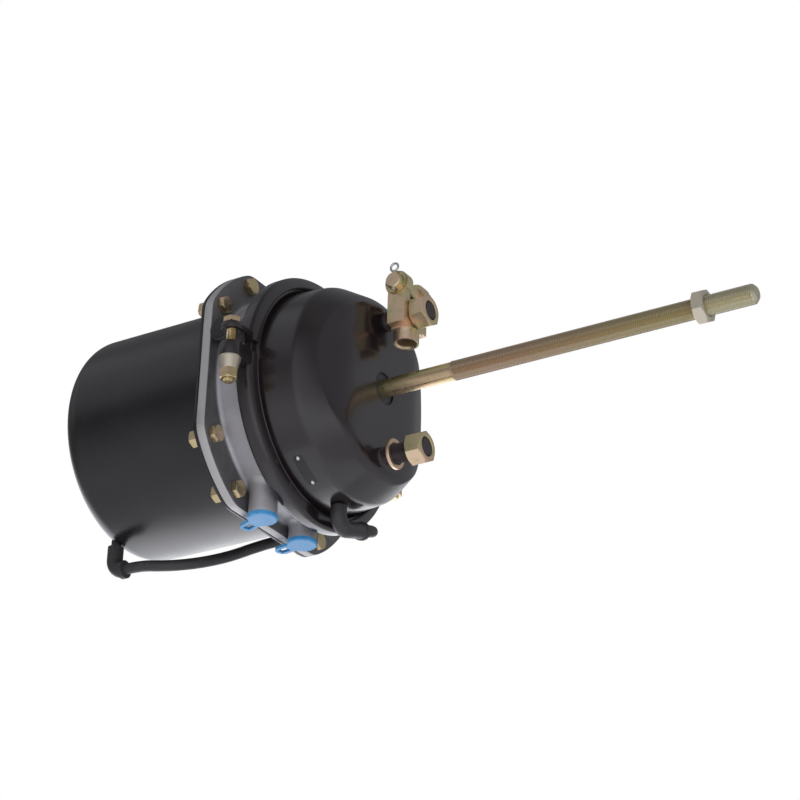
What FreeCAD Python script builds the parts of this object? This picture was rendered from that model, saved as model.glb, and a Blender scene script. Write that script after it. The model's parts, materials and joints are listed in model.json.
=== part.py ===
import FreeCAD, Part

# A combined service and spring brake chamber for a truck axle.
# Millimetres. The push rod is the Z axis and points up. The origin is the middle of the
# flat mounting face, so the body reaches down from it and the rod and studs stand up.
# The two air ports look along +X, and the studs stand on the X axis.
# The rest pose is the parked one: the power spring has pushed the rod right out.

import math
import os

import Sketcher
from FreeCAD import Placement, Rotation, Vector

doc = FreeCAD.newDocument("BrakeChamber")
sheet = doc.addObject("Spreadsheet::Sheet", "Sizes")
ALONG_X = Rotation(Vector(0, 1, 0), 90)
ALONG_Y = Rotation(Vector(1, 0, 0), -90)
AGAINST_Y = Rotation(Vector(1, 0, 0), 90)
NODES = []

# Driving dimensions: alias, size in millimetres or degrees, and what it is
DIMENSIONS = [
    ("stroke", 57, "travel of the push rod and of the spring piston"),
    ("running_gap", 0.05, "radial clearance of a shaft in its guide"),
    ("seat_gap", 0.3, "clearance beside a piece that only rests in place"),
    ("bolt_gap", 0.5, "radial clearance of a bolt in its hole"),
    ("service_wall", 3.5, "wall of the service housing"),
    ("service_radius", 91.5, "outside of the service housing at the clamp ring"),
    ("shoulder_radius", 89.5, "outside of the service housing below its shoulder"),
    ("face_radius", 74, "half length of the flat mounting face"),
    ("face_halfwidth", 51, "half width of the flat mounting face"),
    ("face_rounding", 5, "rounding round the mounting face"),
    ("shoulder_rounding", 14, "rounding of the shoulder"),
    ("service_depth", 59.5, "mounting face to the rim of the service housing"),
    ("shoulder_depth", 27, "height of the shoulder round the mounting face"),
    ("bevel_width", 60, "width of the side bevels"),
    ("bevel_fall", 30, "fall of the side bevels over their width"),
    ("rod_hole_radius", 13.4, "hole for the push rod in the mounting face"),
    ("rod_seal_lip", 24, "flange of the rod seal under the mounting face"),
    ("rod_seal_lip_thickness", 2, "flange of the rod seal under the mounting face"),
    ("rod_seal_inset", 1.5, "top of the rod seal below the mounting face"),
    ("rim_radius", 101, "outer edge of the two clamped rims"),
    ("rim_thickness", 3.5, "each clamped rim"),
    ("bead_thickness", 3.5, "rubber bead between the rims"),
    ("clamp_radius", 105.5, "outside of the clamp ring"),
    ("clamp_leg_radius", 95.4, "inner edge of the clamp ring's legs"),
    ("clamp_wall", 3.7, "wall of the clamp ring's legs"),
    ("clamp_flat", 13.2, "width of the clamp ring's outer face"),
    ("ear_root", 99, "inner end of the clamp ears"),
    ("ear_width", 17, "width of a clamp ear along the axis, and of its round end"),
    ("upper_ear_station", 11.4, "side of the ear under the bolt head, towards -X"),
    ("upper_ear_thickness", 6, "ear under the bolt head"),
    ("lower_ear_station", 0.5, "side of the thick ear that faces the other, towards -X"),
    ("lower_ear_thickness", 12, "ear under the collar"),
    ("clamp_bolt_circle", 120, "distance of the clamp bolts from the axis"),
    ("small_bolt_radius", 4, "M8 bolt"),
    ("small_flats", 13, "across the flats of an M8 head or nut"),
    ("small_head", 5.3, "height of an M8 head"),
    ("small_nut", 8, "height of an M8 flange or clamp nut"),
    ("small_tail", 2.5, "M8 bolt beyond its nut"),
    ("collar_radius", 8.6, "wide end of the conical collar"),
    ("collar_height", 11, "height of the conical collar"),
    ("stud_spacing", 120.65, "middle to middle of the mounting studs"),
    ("large_bolt_radius", 8, "M16 stud, rod thread and release bolt"),
    ("stud_reach", 41.5, "stud above the mounting face"),
    ("stud_head_radius", 9.5, "head of a stud inside the housing"),
    ("stud_head_height", 4, "head of a stud inside the housing"),
    ("thread_chamfer", 1.5, "chamfer at the end of an M16 thread"),
    ("large_flats", 24, "across the flats of an M16 nut"),
    ("large_nut", 14.5, "height of a stud nut"),
    ("washer_radius", 12.4, "outside of a stud washer"),
    ("washer_hole_radius", 9, "hole of a stud washer"),
    ("washer_thickness", 2.8, "stud washer"),
    ("washer_station", 8, "height of the washer under the clevis"),
    ("loose_washer_station", 10.5, "height at which the other stud's washer hangs"),
    ("shank_radius", 7.4, "plain shank of the push rod"),
    ("rod_reach", 322, "push rod above the mounting face in the rest pose"),
    ("thread_start", 64.5, "lower end of the rod's thread in the rest pose"),
    ("lock_nut_height", 10, "thin nut on the push rod"),
    ("lock_nut_station", 273, "lower face of the thin nut"),
    ("push_plate_radius", 62, "push plate"),
    ("push_plate_thickness", 5, "push plate"),
    ("push_plate_station", 28, "depth of the push plate's lower face in the rest pose"),
    ("rod_foot_radius", 13, "foot of the push rod on its plate"),
    ("rod_foot_height", 4, "foot of the push rod on its plate"),
    ("diaphragm_thickness", 3, "service diaphragm"),
    ("diaphragm_knee", 64, "edge of the diaphragm's flat middle"),
    ("return_wire", 4, "wire of the return spring"),
    ("return_top_radius", 31, "narrow end of the return spring, middle of its wire"),
    ("return_foot_radius", 50, "wide end of the return spring, middle of its wire"),
    ("bowl_depth", 89.5, "mounting face to the floor of the bowl for the diaphragm"),
    ("bowl_floor_radius", 70, "edge of the bowl's floor"),
    ("bowl_mouth_radius", 87, "mouth of the bowl"),
    ("neck_radius", 93.5, "outside of the intermediate housing"),
    ("neck_fillet", 3, "rounding between the neck and its flange"),
    ("flange_depth", 97.5, "mounting face to the bolted flange"),
    ("flange_thickness", 8.5, "bolted flange of the intermediate housing"),
    ("flange_radius", 117, "rounded lobes of the bolted flange"),
    ("flange_flat", 103.3, "distance of the flange's flats from the axis"),
    ("flange_bolt_circle", 107, "distance of the flange bolts from the axis"),
    ("flange_bolt_spread", 12.8, "half angle between the two bolts of a lobe"),
    ("web_low", 99, "depth of the lower face of the middle wall"),
    ("spigot_height", 6, "spigot of the intermediate housing in the cylinder"),
    ("spigot_clearance", 0.4, "spigot and piston beside the cylinder's wall"),
    ("spigot_wall", 10, "wall of the spigot"),
    ("o_ring_width", 3, "ring in the spigot's groove"),
    ("o_ring_depth", 3, "depth of a ring's groove"),
    ("boss_radius", 29, "boss round the piston tube"),
    ("guide_wall", 3, "bush and seals round the piston tube"),
    ("guide_lip", 2.5, "lip of the casting above the bush"),
    ("bush_height", 9, "bush round the piston tube"),
    ("seal_height", 4, "each seal round the piston tube"),
    ("steel_flange", 3, "flange of the spring cylinder"),
    ("cylinder_radius", 94, "outside of the spring cylinder"),
    ("cylinder_wall", 3, "wall of the spring cylinder"),
    ("cylinder_corner", 18, "rounded rear corner of the spring cylinder"),
    ("body_depth", 254, "mounting face to the rear face"),
    ("recess_radius", 26, "recess in the rear face"),
    ("recess_depth", 17, "recess in the rear face"),
    ("recess_draft", 2, "taper of the recess"),
    ("piston_gap", 2, "spring piston below the spigot in the rest pose"),
    ("piston_web", 8, "web of the spring piston"),
    ("piston_skirt", 26, "height of the spring piston at its rim"),
    ("piston_rim_wall", 9, "wall of the spring piston's rim"),
    ("piston_hub_radius", 28, "hub of the spring piston"),
    ("tube_radius", 19, "outside of the piston tube"),
    ("tube_bore_radius", 14, "inside of the piston tube"),
    ("tube_floor", 6, "shoulder at the lower end of the piston tube"),
    ("tube_pad_height", 14, "pad at the upper end of the piston tube"),
    ("spring_wire", 15, "wire of the power spring"),
    ("spring_radius", 62, "middle of the power spring's wire"),
    ("release_head", 10, "height of the release bolt's head"),
    ("release_boss_radius", 17, "threaded boss of the release bolt"),
    ("release_boss_height", 23, "threaded boss of the release bolt"),
    ("thrust_radius", 12.5, "thrust washer on the release bolt"),
    ("thrust_thickness", 4, "thrust washer on the release bolt"),
    ("thrust_play", 2, "play between the thrust washer and the tube's shoulder"),
    ("stop_height", 6, "stop nut on the inner end of the release bolt"),
    ("port_depth", 85.7, "mounting face to the middle of the air ports"),
    ("port_spacing", 56, "middle to middle of the air ports"),
    ("port_shift", 8, "middle of the pair of ports from the axis, towards -Y"),
    ("port_face", 107, "face of the port bosses from the axis"),
    ("port_root", 72, "inner end of the port bosses"),
    ("port_boss_radius", 11.4, "port boss"),
    ("port_thread_length", 15, "length of the port thread"),
    ("port_mouth_radius", 9.6, "sealing recess at the mouth of a port"),
    ("port_mouth_depth", 3, "sealing recess at the mouth of a port"),
    ("port_duct_radius", 4, "duct behind a port thread"),
    ("plug_radius", 12.2, "disc of a port plug"),
    ("plug_thickness", 3.5, "disc of a port plug"),
    ("plug_bore_radius", 6, "hollow of a port plug's stub"),
    ("tab_reach", 27, "pull tab, from the middle of the plug to its end"),
    ("tab_width", 12, "pull tab"),
    ("tab_thickness", 2.4, "pull tab"),
    ("tab_slot", 6, "slot in the pull tab"),
    ("blank_boss_radius", 10.5, "third boss of the intermediate housing"),
    ("blank_boss_face", 97, "face of the third boss, towards -Y"),
    ("blank_shift", 27, "middle of the third boss, towards -X"),
    ("blank_depth", 86, "mounting face to the middle of the third boss"),
    ("blank_cap_height", 10, "black cap on the third boss"),
    ("clevis_halfwidth", 17, "outer face of a clevis leg from the middle"),
    ("clevis_slot", 17.2, "gap between the clevis legs"),
    ("clevis_thickness", 16, "clevis along the stud"),
    ("clevis_pin_radius", 7, "clevis pin"),
    ("clevis_pin_rise", 23, "middle of the clevis pin from the stud"),
    ("clevis_mouth", 25, "threaded end of the clevis from the stud"),
    ("clevis_neck_radius", 10.3, "threaded end of the clevis"),
    ("clevis_eye_radius", 10.5, "rounded eyes of the clevis"),
    ("clevis_root", 4, "clevis body beyond its slot"),
    ("clevis_neck_rise", 14.5, "start of the round threaded end from the stud"),
    ("clevis_mouth_chamfer", 1.5, "chamfer at the mouth of the clevis thread"),
    ("pin_head_radius", 9.5, "head of the clevis pin"),
    ("pin_head_height", 4, "head of the clevis pin"),
    ("pin_tail", 6.5, "clevis pin beyond the leg, on the cotter's side"),
    ("pin_washer_radius", 9.6, "washer under the cotter"),
    ("pin_washer_thickness", 1.6, "washer under the cotter"),
    ("cotter_radius", 1.6, "cotter pin"),
    ("cotter_tail", 9, "cotter below the middle of the clevis pin"),
    ("cotter_loop_radius", 3.4, "loop of the cotter, middle of its wire"),
    ("hose_radius", 4.6, "outside of the vent hose"),
    ("hose_bore", 2.8, "inside of the vent hose"),
    ("elbow_radius", 6.6, "legs of the vent elbows"),
    ("elbow_collar_radius", 7.6, "collars of the vent elbows"),
    ("elbow_collar_height", 4, "collars of the vent elbows"),
    ("elbow_stub_radius", 4, "stub of a vent elbow in its housing"),
    ("elbow_bend", 10, "bend of the vent elbows"),
    ("front_vent_depth", 42, "mounting face to the front vent"),
    ("front_vent_shift", 5, "front vent from the middle plane, towards +Y"),
    ("front_vent_reach", 111, "bend of the front elbow from the axis"),
    ("front_leg_back", 15.5, "hose end of the front elbow, back towards the axis from its bend"),
    ("front_leg_length", 42, "hose end of the front elbow from its bend, towards +Y"),
    ("front_leg_fall", 4.5, "hose end of the front elbow below its bend"),
    ("rear_vent_height", 8, "rear vent above the rear face"),
    ("rear_vent_shift", 16, "rear vent from the middle plane, towards -Y"),
    ("rear_vent_reach", 115, "bend of the rear elbow from the axis"),
    ("rear_leg_length", 12, "hose end of the rear elbow from its bend"),
    ("hose_lead", 16, "straight run of the hose at each elbow"),
]

# Stations worked out from the driving dimensions
STATIONS = [
    ("rim_low", "service_depth + rim_thickness", "depth of the service rim's lower face"),
    ("bead_low", "rim_low + bead_thickness", "depth of the bead's lower face"),
    ("casting_rim_low", "bead_low + rim_thickness", "depth of the casting rim's lower face"),
    ("clamp_middle", "(service_depth + casting_rim_low) / 2", "depth of the clamp ring"),
    ("clamp_inner", "rim_radius + seat_gap", "inside of the clamp ring"),
    ("collar_seat", "lower_ear_thickness - lower_ear_station", "face of the ear under the collar"),
    ("clamp_nut_seat", "collar_seat + collar_height", "face of the collar under the clamp nut"),
    ("flange_low", "flange_depth + flange_thickness", "depth of the casting flange's lower face"),
    ("steel_low", "flange_low + steel_flange", "depth of the steel flange's lower face"),
    ("spigot_low", "flange_low + spigot_height", "depth of the spigot's end"),
    ("piston_depth", "spigot_low + piston_gap", "depth of the spring piston in the rest pose"),
    ("cylinder_bore", "cylinder_radius - cylinder_wall", "inside of the spring cylinder"),
    ("spigot_radius", "cylinder_bore - spigot_clearance", "outside of the spigot and piston"),
    ("ring_radius", "cylinder_bore - running_gap", "outside of the rings on the wall"),
    ("rear_inside", "body_depth - cylinder_wall", "depth of the rear wall's inside"),
    ("recess_floor", "body_depth - recess_depth", "depth of the recess floor"),
    ("tube_top", "push_plate_station + diaphragm_thickness", "depth of the tube's pad"),
    ("guide_radius", "tube_radius + running_gap", "inside of the tube's bush and seals"),
    ("guide_outer", "tube_radius + guide_wall", "outside of the tube's bush and seals"),
    ("piston_low", "piston_depth + piston_skirt", "depth of the piston's lower end"),
    ("shank_top", "push_plate_station - push_plate_thickness", "depth of the push plate's top"),
    ("thrust_low", "piston_low - thrust_play", "depth of the thrust washer's lower face"),
    ("release_seat", "recess_floor + washer_thickness", "depth of the release bolt's seat"),
    ("clevis_low", "washer_station + washer_thickness", "height of the clevis's lower face"),
    ("clevis_middle", "clevis_low + clevis_thickness / 2", "height of the clevis's middle"),
    ("stud_x", "stud_spacing / 2", "studs from the axis"),
    ("rear_vent_depth", "body_depth - rear_vent_height", "depth of the rear vent"),
]

row = 1
for alias, content, note in DIMENSIONS + [(a, "=" + f, n) for a, f, n in STATIONS]:
    sheet.set("A%d" % row, note)
    sheet.set("B%d" % row, str(content))
    sheet.setAlias("B%d" % row, alias)
    row += 1
doc.recompute()
ALIASES = {entry[0] for entry in DIMENSIONS + STATIONS}


def bound(formula):
    """Puts the sheet's name before each alias in a formula."""
    text = ""
    word = ""
    for letter in str(formula) + " ":
        if letter.isalnum() or letter == "_":
            word += letter
            continue
        text += "Sizes." + word if word in ALIASES else word
        text += letter
        word = ""
    return text.strip()


def size(formula):
    """Returns the number that a formula of the sheet's aliases gives."""
    return float(sheet.evalExpression(str(formula)))


def bind(thing, **formulas):
    """Binds properties such as Radius to formulas of the sheet."""
    for name, formula in formulas.items():
        thing.setExpression(name, bound(formula))


def put(thing, x="0", y="0", z="0", turn=None):
    """Places an object; the coordinates are formulas, and turn is a rotation."""
    thing.Placement = Placement(Vector(size(x), size(y), size(z)), turn or Rotation())
    for letter, formula in zip("xyz", (x, y, z)):
        thing.setExpression("Placement.Base." + letter, bound(formula))
    return thing


def node(thing, label):
    """Names a finished sub-part and keeps it for the export."""
    thing.Label = label
    NODES.append(thing)
    return thing


def group(label, *things):
    """Keeps separate solids together in one node."""
    result = doc.addObject("Part::Compound", label + "_set")
    result.Links = list(things)
    return node(result, label)


def outline(body, name, role, points):
    """Draws a closed outline whose corners are bound to formulas of the sheet."""
    sketch = body.newObject("Sketcher::SketchObject", name)
    plane = [feature for feature in body.Origin.OriginFeatures if feature.Role == role][0]
    sketch.AttachmentSupport = (plane, [""])
    sketch.MapMode = "FlatFace"
    spots = [Vector(size(across), size(along), 0) for across, along in points]
    count = len(spots)
    for index in range(count):
        sketch.addGeometry(Part.LineSegment(spots[index], spots[(index + 1) % count]), False)
    for index in range(count):
        sketch.addConstraint(Sketcher.Constraint("Coincident", index, 2, (index + 1) % count, 1))
    for index, corner in enumerate(points):
        for kind, formula, number in zip(("DistanceX", "DistanceY"), corner, spots[index]):
            if formula == "0":
                axis = -2 if kind == "DistanceX" else -1
                sketch.addConstraint(Sketcher.Constraint("PointOnObject", index, 1, axis))
                continue
            place = sketch.addConstraint(Sketcher.Constraint(kind, -1, 1, index, 1, number))
            sketch.setExpression("Constraints[%d]" % place, bound(formula))
    return sketch


def turned(name, points):
    """Makes a body by turning an outline of (radius, height) corners about Z."""
    body = doc.addObject("PartDesign::Body", name)
    sketch = outline(body, name + "_outline", "XZ_Plane", points)
    feature = body.newObject("PartDesign::Revolution", name + "_turned")
    feature.Profile = sketch
    feature.ReferenceAxis = (sketch, ["V_Axis"])
    feature.Angle = 360
    doc.recompute()
    return body


def ring(name, inner, outer, low, high):
    """Makes a plain ring or washer as a turned body, between two heights."""
    return turned(name, [(inner, low), (outer, low), (outer, high), (inner, high)])


def round_edges(body, radius, wanted):
    """Rounds the edges of a body for which wanted(edge) is true."""
    edges = body.Shape.Edges
    names = ["Edge%d" % (index + 1) for index, edge in enumerate(edges) if wanted(edge)]
    base = body.Tip
    fillet = body.newObject("PartDesign::Fillet", base.Name + "_rounded")
    fillet.Base = (base, names)
    bind(fillet, Radius=radius)
    doc.recompute()
    return body


def round_rims(body, radius, *rims):
    """Rounds the circular edges that have one of the given (radius, height) pairs."""
    def wanted(edge):
        if edge.Curve.TypeId != "Part::GeomCircle":
            return False
        near = [abs(edge.Curve.Radius - size(r)) + abs(edge.Curve.Center.z - size(z)) for r, z in rims]
        return min(near) < 0.01
    return round_edges(body, radius, wanted)


def cylinder(name, radius, height, x="0", y="0", z="0", turn=None):
    """Makes a Part cylinder bound to the sheet."""
    thing = doc.addObject("Part::Cylinder", name)
    bind(thing, Radius=radius, Height=height)
    return put(thing, x, y, z, turn)


def block(name, length, width, height, x, y, z):
    """Makes a Part box with its corner at the given place."""
    thing = doc.addObject("Part::Box", name)
    bind(thing, Length=length, Width=width, Height=height)
    return put(thing, x, y, z)


def hexagon(name, flats, height, x="0", y="0", z="0", turn=None):
    """Makes a hexagonal prism of the given width across its flats."""
    thing = doc.addObject("Part::Prism", name)
    thing.Polygon = 6
    bind(thing, Circumradius="%s / sqrt(3)" % flats, Height=height)
    return put(thing, x, y, z, turn)


def cut(name, base, *tools):
    """Cuts tools from a base, one after the other."""
    for index, tool in enumerate(tools):
        result = doc.addObject("Part::Cut", "%s_%d" % (name, index))
        result.Base = base
        result.Tool = tool
        base = result
    return base


def fuse(name, *things):
    """Joins things into one solid."""
    result = doc.addObject("Part::MultiFuse", name)
    result.Shapes = list(things)
    result.Refine = True
    return result


def nut(name, flats, height, bore, x="0", y="0", z="0", turn=None):
    """Makes a hexagonal nut whose lower face lies at the given place."""
    body = hexagon(name + "_hexagon", flats, height, x, y, z, turn)
    return cut(name, body, cylinder(name + "_bore", bore, height, x, y, z, turn))


def lobed_plate(name, depth, thickness):
    """Makes the flange outline: a disc with four flats."""
    disc = cylinder(name + "_disc", "flange_radius", thickness, z="-(%s) - (%s)" % (depth, thickness))
    square = block(name + "_square", "2 * flange_flat", "2 * flange_flat", thickness,
                   "-flange_flat", "-flange_flat", "-(%s) - (%s)" % (depth, thickness))
    plate = doc.addObject("Part::Common", name)
    plate.Base = disc
    plate.Tool = square
    return plate


def bolt_angles():
    """Angles of the flange bolts, two in each lobe, as formulas."""
    return ["%d %s flange_bolt_spread" % (lobe, sign) for lobe in (45, 135, 225, 315) for sign in "-+"]


def flange_bolt_places():
    """X and Y of the flange bolts, as formulas."""
    return [("flange_bolt_circle * cos((%s) * 1deg)" % angle,
             "flange_bolt_circle * sin((%s) * 1deg)" % angle) for angle in bolt_angles()]


def bolt_holes(name, depth, thickness):
    """Makes the tools that drill the flange bolts' holes."""
    low = "-(%s) - (%s)" % (depth, thickness)
    return [cylinder("%s_hole%d" % (name, index), "small_bolt_radius + bolt_gap", thickness, x, y, low)
            for index, (x, y) in enumerate(flange_bolt_places())]


def coil(name, wire, low_radius, high_radius, low, high, turns):
    """Makes a round-wire spring of tangent-like arcs between two heights of its wire's middle."""
    steps = int(turns * 8)
    spots = []
    for index in range(2 * steps + 1):
        share = index / (2 * steps)
        angle = 2 * math.pi * turns * share
        radius = size(low_radius) + (size(high_radius) - size(low_radius)) * share
        height = size(low) + (size(high) - size(low)) * share
        spots.append(Vector(radius * math.cos(angle), radius * math.sin(angle), height))
    arcs = [Part.Arc(*spots[index:index + 3]).toShape() for index in range(0, 2 * steps, 2)]
    start = Part.Circle(spots[0], arcs[0].tangentAt(arcs[0].FirstParameter), size(wire) / 2)
    thing = doc.addObject("Part::Feature", name)
    thing.Shape = Part.Wire(arcs).makePipeShell([Part.Wire(start.toShape())], True, False)
    return node(thing, name)


def route(points, bends):
    """Joins straight runs by tangent arcs; returns the wire and the radii of its arcs."""
    edges = []
    radii = []
    start = points[0]
    for before, corner, after in zip(points, points[1:], points[2:]):
        inward = (before - corner).normalize()
        outward = (after - corner).normalize()
        half_turn = (math.pi - inward.getAngle(outward)) / 2
        shorter = min(corner.distanceToPoint(before), corner.distanceToPoint(after))
        reach = bends * math.tan(half_turn) if bends else 0.45 * shorter
        radius = reach / math.tan(half_turn)
        bisector = (inward + outward).normalize()
        middle = corner + bisector * (radius / math.cos(half_turn) - radius)
        first = corner + inward * reach
        last = corner + outward * reach
        edges.append(Part.LineSegment(start, first).toShape())
        edges.append(Part.Arc(first, middle, last).toShape())
        radii.append(round(radius, 1))
        start = last
    edges.append(Part.LineSegment(start, points[-1]).toShape())
    return Part.Wire(edges), radii


def pipe(path, radius):
    """Sweeps a round section along a route."""
    first = path.Edges[0]
    section = Part.Circle(first.valueAt(first.FirstParameter), first.tangentAt(first.FirstParameter), radius)
    return path.makePipeShell([Part.Wire(section.toShape())], True, False)


def shape_object(name, shape):
    """Keeps a shape that was made with Part's own functions."""
    thing = doc.addObject("Part::Feature", name)
    thing.Shape = shape
    return thing


# Service housing, with its flat mounting face and bevelled sides
def bevelled_form(name, inset, rounding, shoulder):
    """Turns the housing's outside, or its cavity, and bevels both sides.

    inset is 0 for the outside and the wall for the cavity.
    """
    top = "-(%s)" % inset if inset != "0" else "0"
    low = "-rim_low"
    body = turned(name, [
        ("0", top),
        ("face_radius - (%s) / 2" % inset, top),
        ("shoulder_radius - (%s)" % inset, "-shoulder_depth"),
        ("service_radius - (%s)" % inset, low),
        ("0", low),
    ])
    round_rims(body, rounding, ("face_radius - (%s) / 2" % inset, top))
    round_rims(body, shoulder, ("shoulder_radius - (%s)" % inset, "-shoulder_depth"))
    for side, sign in (("left", "-"), ("right", "")):
        near = "%s(face_halfwidth - (%s))" % (sign, inset)
        far = "%s(face_halfwidth - (%s) + bevel_width)" % (sign, inset)
        sketch = outline(body, "%s_%s" % (name, side), "YZ_Plane", [
            (near, top), (far, "-(%s) - bevel_fall" % inset), (far, "1"), (near, "1")])
        pocket = body.newObject("PartDesign::Pocket", "%s_%s_bevel" % (name, side))
        pocket.Profile = sketch
        pocket.Type = "ThroughAll"
        pocket.Midplane = True
        doc.recompute()
    return body


def service_housing():
    outside = bevelled_form("service_outside", "0", "face_rounding", "shoulder_rounding")
    cavity = bevelled_form("service_cavity", "service_wall", "service_wall / 2", "shoulder_rounding")
    rim = ring("service_rim", "service_radius - service_wall - 0.5", "rim_radius", "-rim_low", "-service_depth")
    through = "service_wall * 3"
    above = "-service_wall * 2"
    tools = [cylinder("rod_hole", "rod_hole_radius", through, z=above)]
    for side, sign in (("front", "-"), ("back", "")):
        tools.append(cylinder("stud_hole_" + side, "large_bolt_radius + running_gap", through,
                              sign + "stud_x", "0", above))
    tools.append(cylinder("vent_hole", "elbow_stub_radius + running_gap", "service_wall * 5",
                          "service_radius - service_wall * 3", "front_vent_shift", "-front_vent_depth",
                          ALONG_X))
    shell = cut("service_shell", outside, cavity)
    node(cut("service", fuse("service_walls", shell, rim), *tools), "service_housing")


# Studs, nuts and washers for the axle's bracket
def mounting_fasteners():
    studs = []
    nuts = []
    washers = []
    stations = {"front": "washer_station", "back": "loose_washer_station"}
    for side, sign in (("front", "-"), ("back", "")):
        stud = turned("stud_" + side, [
            ("0", "-service_wall - stud_head_height"),
            ("stud_head_radius", "-service_wall - stud_head_height"),
            ("stud_head_radius", "-service_wall"),
            ("large_bolt_radius", "-service_wall"),
            ("large_bolt_radius", "stud_reach - thread_chamfer"),
            ("large_bolt_radius - thread_chamfer", "stud_reach"),
            ("0", "stud_reach"),
        ])
        studs.append(put(stud, sign + "stud_x"))
        nuts.append(nut("stud_nut_" + side, "large_flats", "large_nut", "large_bolt_radius",
                        sign + "stud_x", "0", "stud_reach - large_nut"))
        washer = ring("stud_washer_" + side, "washer_hole_radius", "washer_radius", "0", "washer_thickness")
        washers.append(put(washer, sign + "stud_x", "0", stations[side]))
    group("mounting_studs", *studs)
    group("stud_nuts", *nuts)
    group("stud_washers", *washers)


# Push rod with its plate, thin nut, seal and return spring
def push_rod():
    node(turned("rod", [
        ("0", "-shank_top"),
        ("rod_foot_radius", "-shank_top"),
        ("rod_foot_radius", "-shank_top + rod_foot_height / 2"),
        ("shank_radius", "-shank_top + rod_foot_height"),
        ("shank_radius", "thread_start - (large_bolt_radius - shank_radius)"),
        ("large_bolt_radius", "thread_start"),
        ("large_bolt_radius", "rod_reach - thread_chamfer * 2"),
        ("large_bolt_radius - thread_chamfer * 2", "rod_reach"),
        ("0", "rod_reach"),
    ]), "push_rod")
    plate = turned("plate", [
        ("0", "-push_plate_station"),
        ("push_plate_radius", "-push_plate_station"),
        ("push_plate_radius", "-shank_top"),
        ("0", "-shank_top"),
    ])
    round_rims(plate, "push_plate_thickness / 2.5", ("push_plate_radius", "-push_plate_station"))
    node(plate, "push_plate")
    node(nut("lock_nut", "large_flats", "lock_nut_height", "large_bolt_radius + running_gap",
             z="lock_nut_station"), "rod_lock_nut")
    node(turned("seal", [
        ("shank_radius + running_gap", "-service_wall - rod_seal_lip_thickness"),
        ("rod_seal_lip", "-service_wall - rod_seal_lip_thickness"),
        ("rod_seal_lip", "-service_wall"),
        ("rod_hole_radius - running_gap", "-service_wall"),
        ("rod_hole_radius - running_gap", "-rod_seal_inset"),
        ("shank_radius + running_gap", "-rod_seal_inset"),
    ]), "rod_seal")
    coil("return_spring", "return_wire", "return_foot_radius", "return_top_radius",
         "-shank_top + return_wire / 2 + seat_gap", "-service_wall - return_wire / 2 - seat_gap", 3)


def diaphragm():
    edge = "rim_radius - seat_gap"
    node(turned("membrane", [
        ("0", "-push_plate_station"),
        ("diaphragm_knee", "-push_plate_station"),
        ("bowl_mouth_radius - diaphragm_thickness / 2", "-rim_low"),
        (edge, "-rim_low"),
        (edge, "-bead_low"),
        ("bowl_mouth_radius - diaphragm_thickness * 1.5", "-bead_low"),
        ("diaphragm_knee - diaphragm_thickness / 2", "-tube_top"),
        ("0", "-tube_top"),
    ]), "service_diaphragm")


# Clamp ring: two half rings with ears, drawn together by two bolts
def clamp_ring():
    reach = "clamp_wall + (clamp_radius - clamp_leg_radius) / 3"
    upper = "-service_depth + seat_gap"
    lower = "-casting_rim_low - seat_gap"
    half_flat = "clamp_flat / 2"
    profile = [
        ("clamp_leg_radius", upper + " + clamp_wall"),
        ("clamp_radius", "-clamp_middle + " + half_flat),
        ("clamp_radius", "-clamp_middle - " + half_flat),
        ("clamp_leg_radius", lower + " - clamp_wall"),
        ("clamp_leg_radius", lower),
        ("clamp_inner", lower),
        ("clamp_inner", upper),
        ("clamp_leg_radius", upper),
    ]
    holes = []
    for side, sign in (("near", "-"), ("far", "")):
        holes.append(cylinder("clamp_hole_" + side, "small_bolt_radius + bolt_gap", "2 * clamp_radius",
                              "-clamp_radius", sign + "clamp_bolt_circle", "-clamp_middle", ALONG_X))
    halves = [
        ("upper", "-clamp_radius", "-upper_ear_station", "-upper_ear_station - upper_ear_thickness",
         "upper_ear_thickness"),
        ("lower", "-lower_ear_station", "clamp_radius", "-lower_ear_station", "lower_ear_thickness"),
    ]
    for name, start, end, ear_start, ear_thickness in halves:
        ears = []
        for side, sign, edge in (("near", "-", "-clamp_bolt_circle"), ("far", "", "ear_root")):
            ears.append(block("%s_ear_%s" % (name, side), ear_thickness, "clamp_bolt_circle - ear_root",
                              "ear_width", ear_start, edge, "-clamp_middle - ear_width / 2"))
            ears.append(cylinder("%s_ear_end_%s" % (name, side), "ear_width / 2", ear_thickness,
                                 ear_start, sign + "clamp_bolt_circle", "-clamp_middle", ALONG_X))
        keep = block("%s_half" % name, "%s - (%s)" % (end, start), "2 * clamp_radius", "clamp_radius",
                     start, "-clamp_radius", "-clamp_middle - clamp_radius / 2")
        half = doc.addObject("Part::Common", "clamp_" + name)
        half.Base = turned("clamp_profile_" + name, profile)
        half.Tool = keep
        inside = cylinder("clamp_room_" + name, "clamp_inner", "ear_width",
                          z="-clamp_middle - ear_width / 2")
        band = fuse("clamp_fused_" + name, half, cut("ears_" + name, fuse("pair_" + name, *ears), inside))
        node(cut("clamp_drilled_" + name, band, *holes), "clamp_band_" + name)


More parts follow.
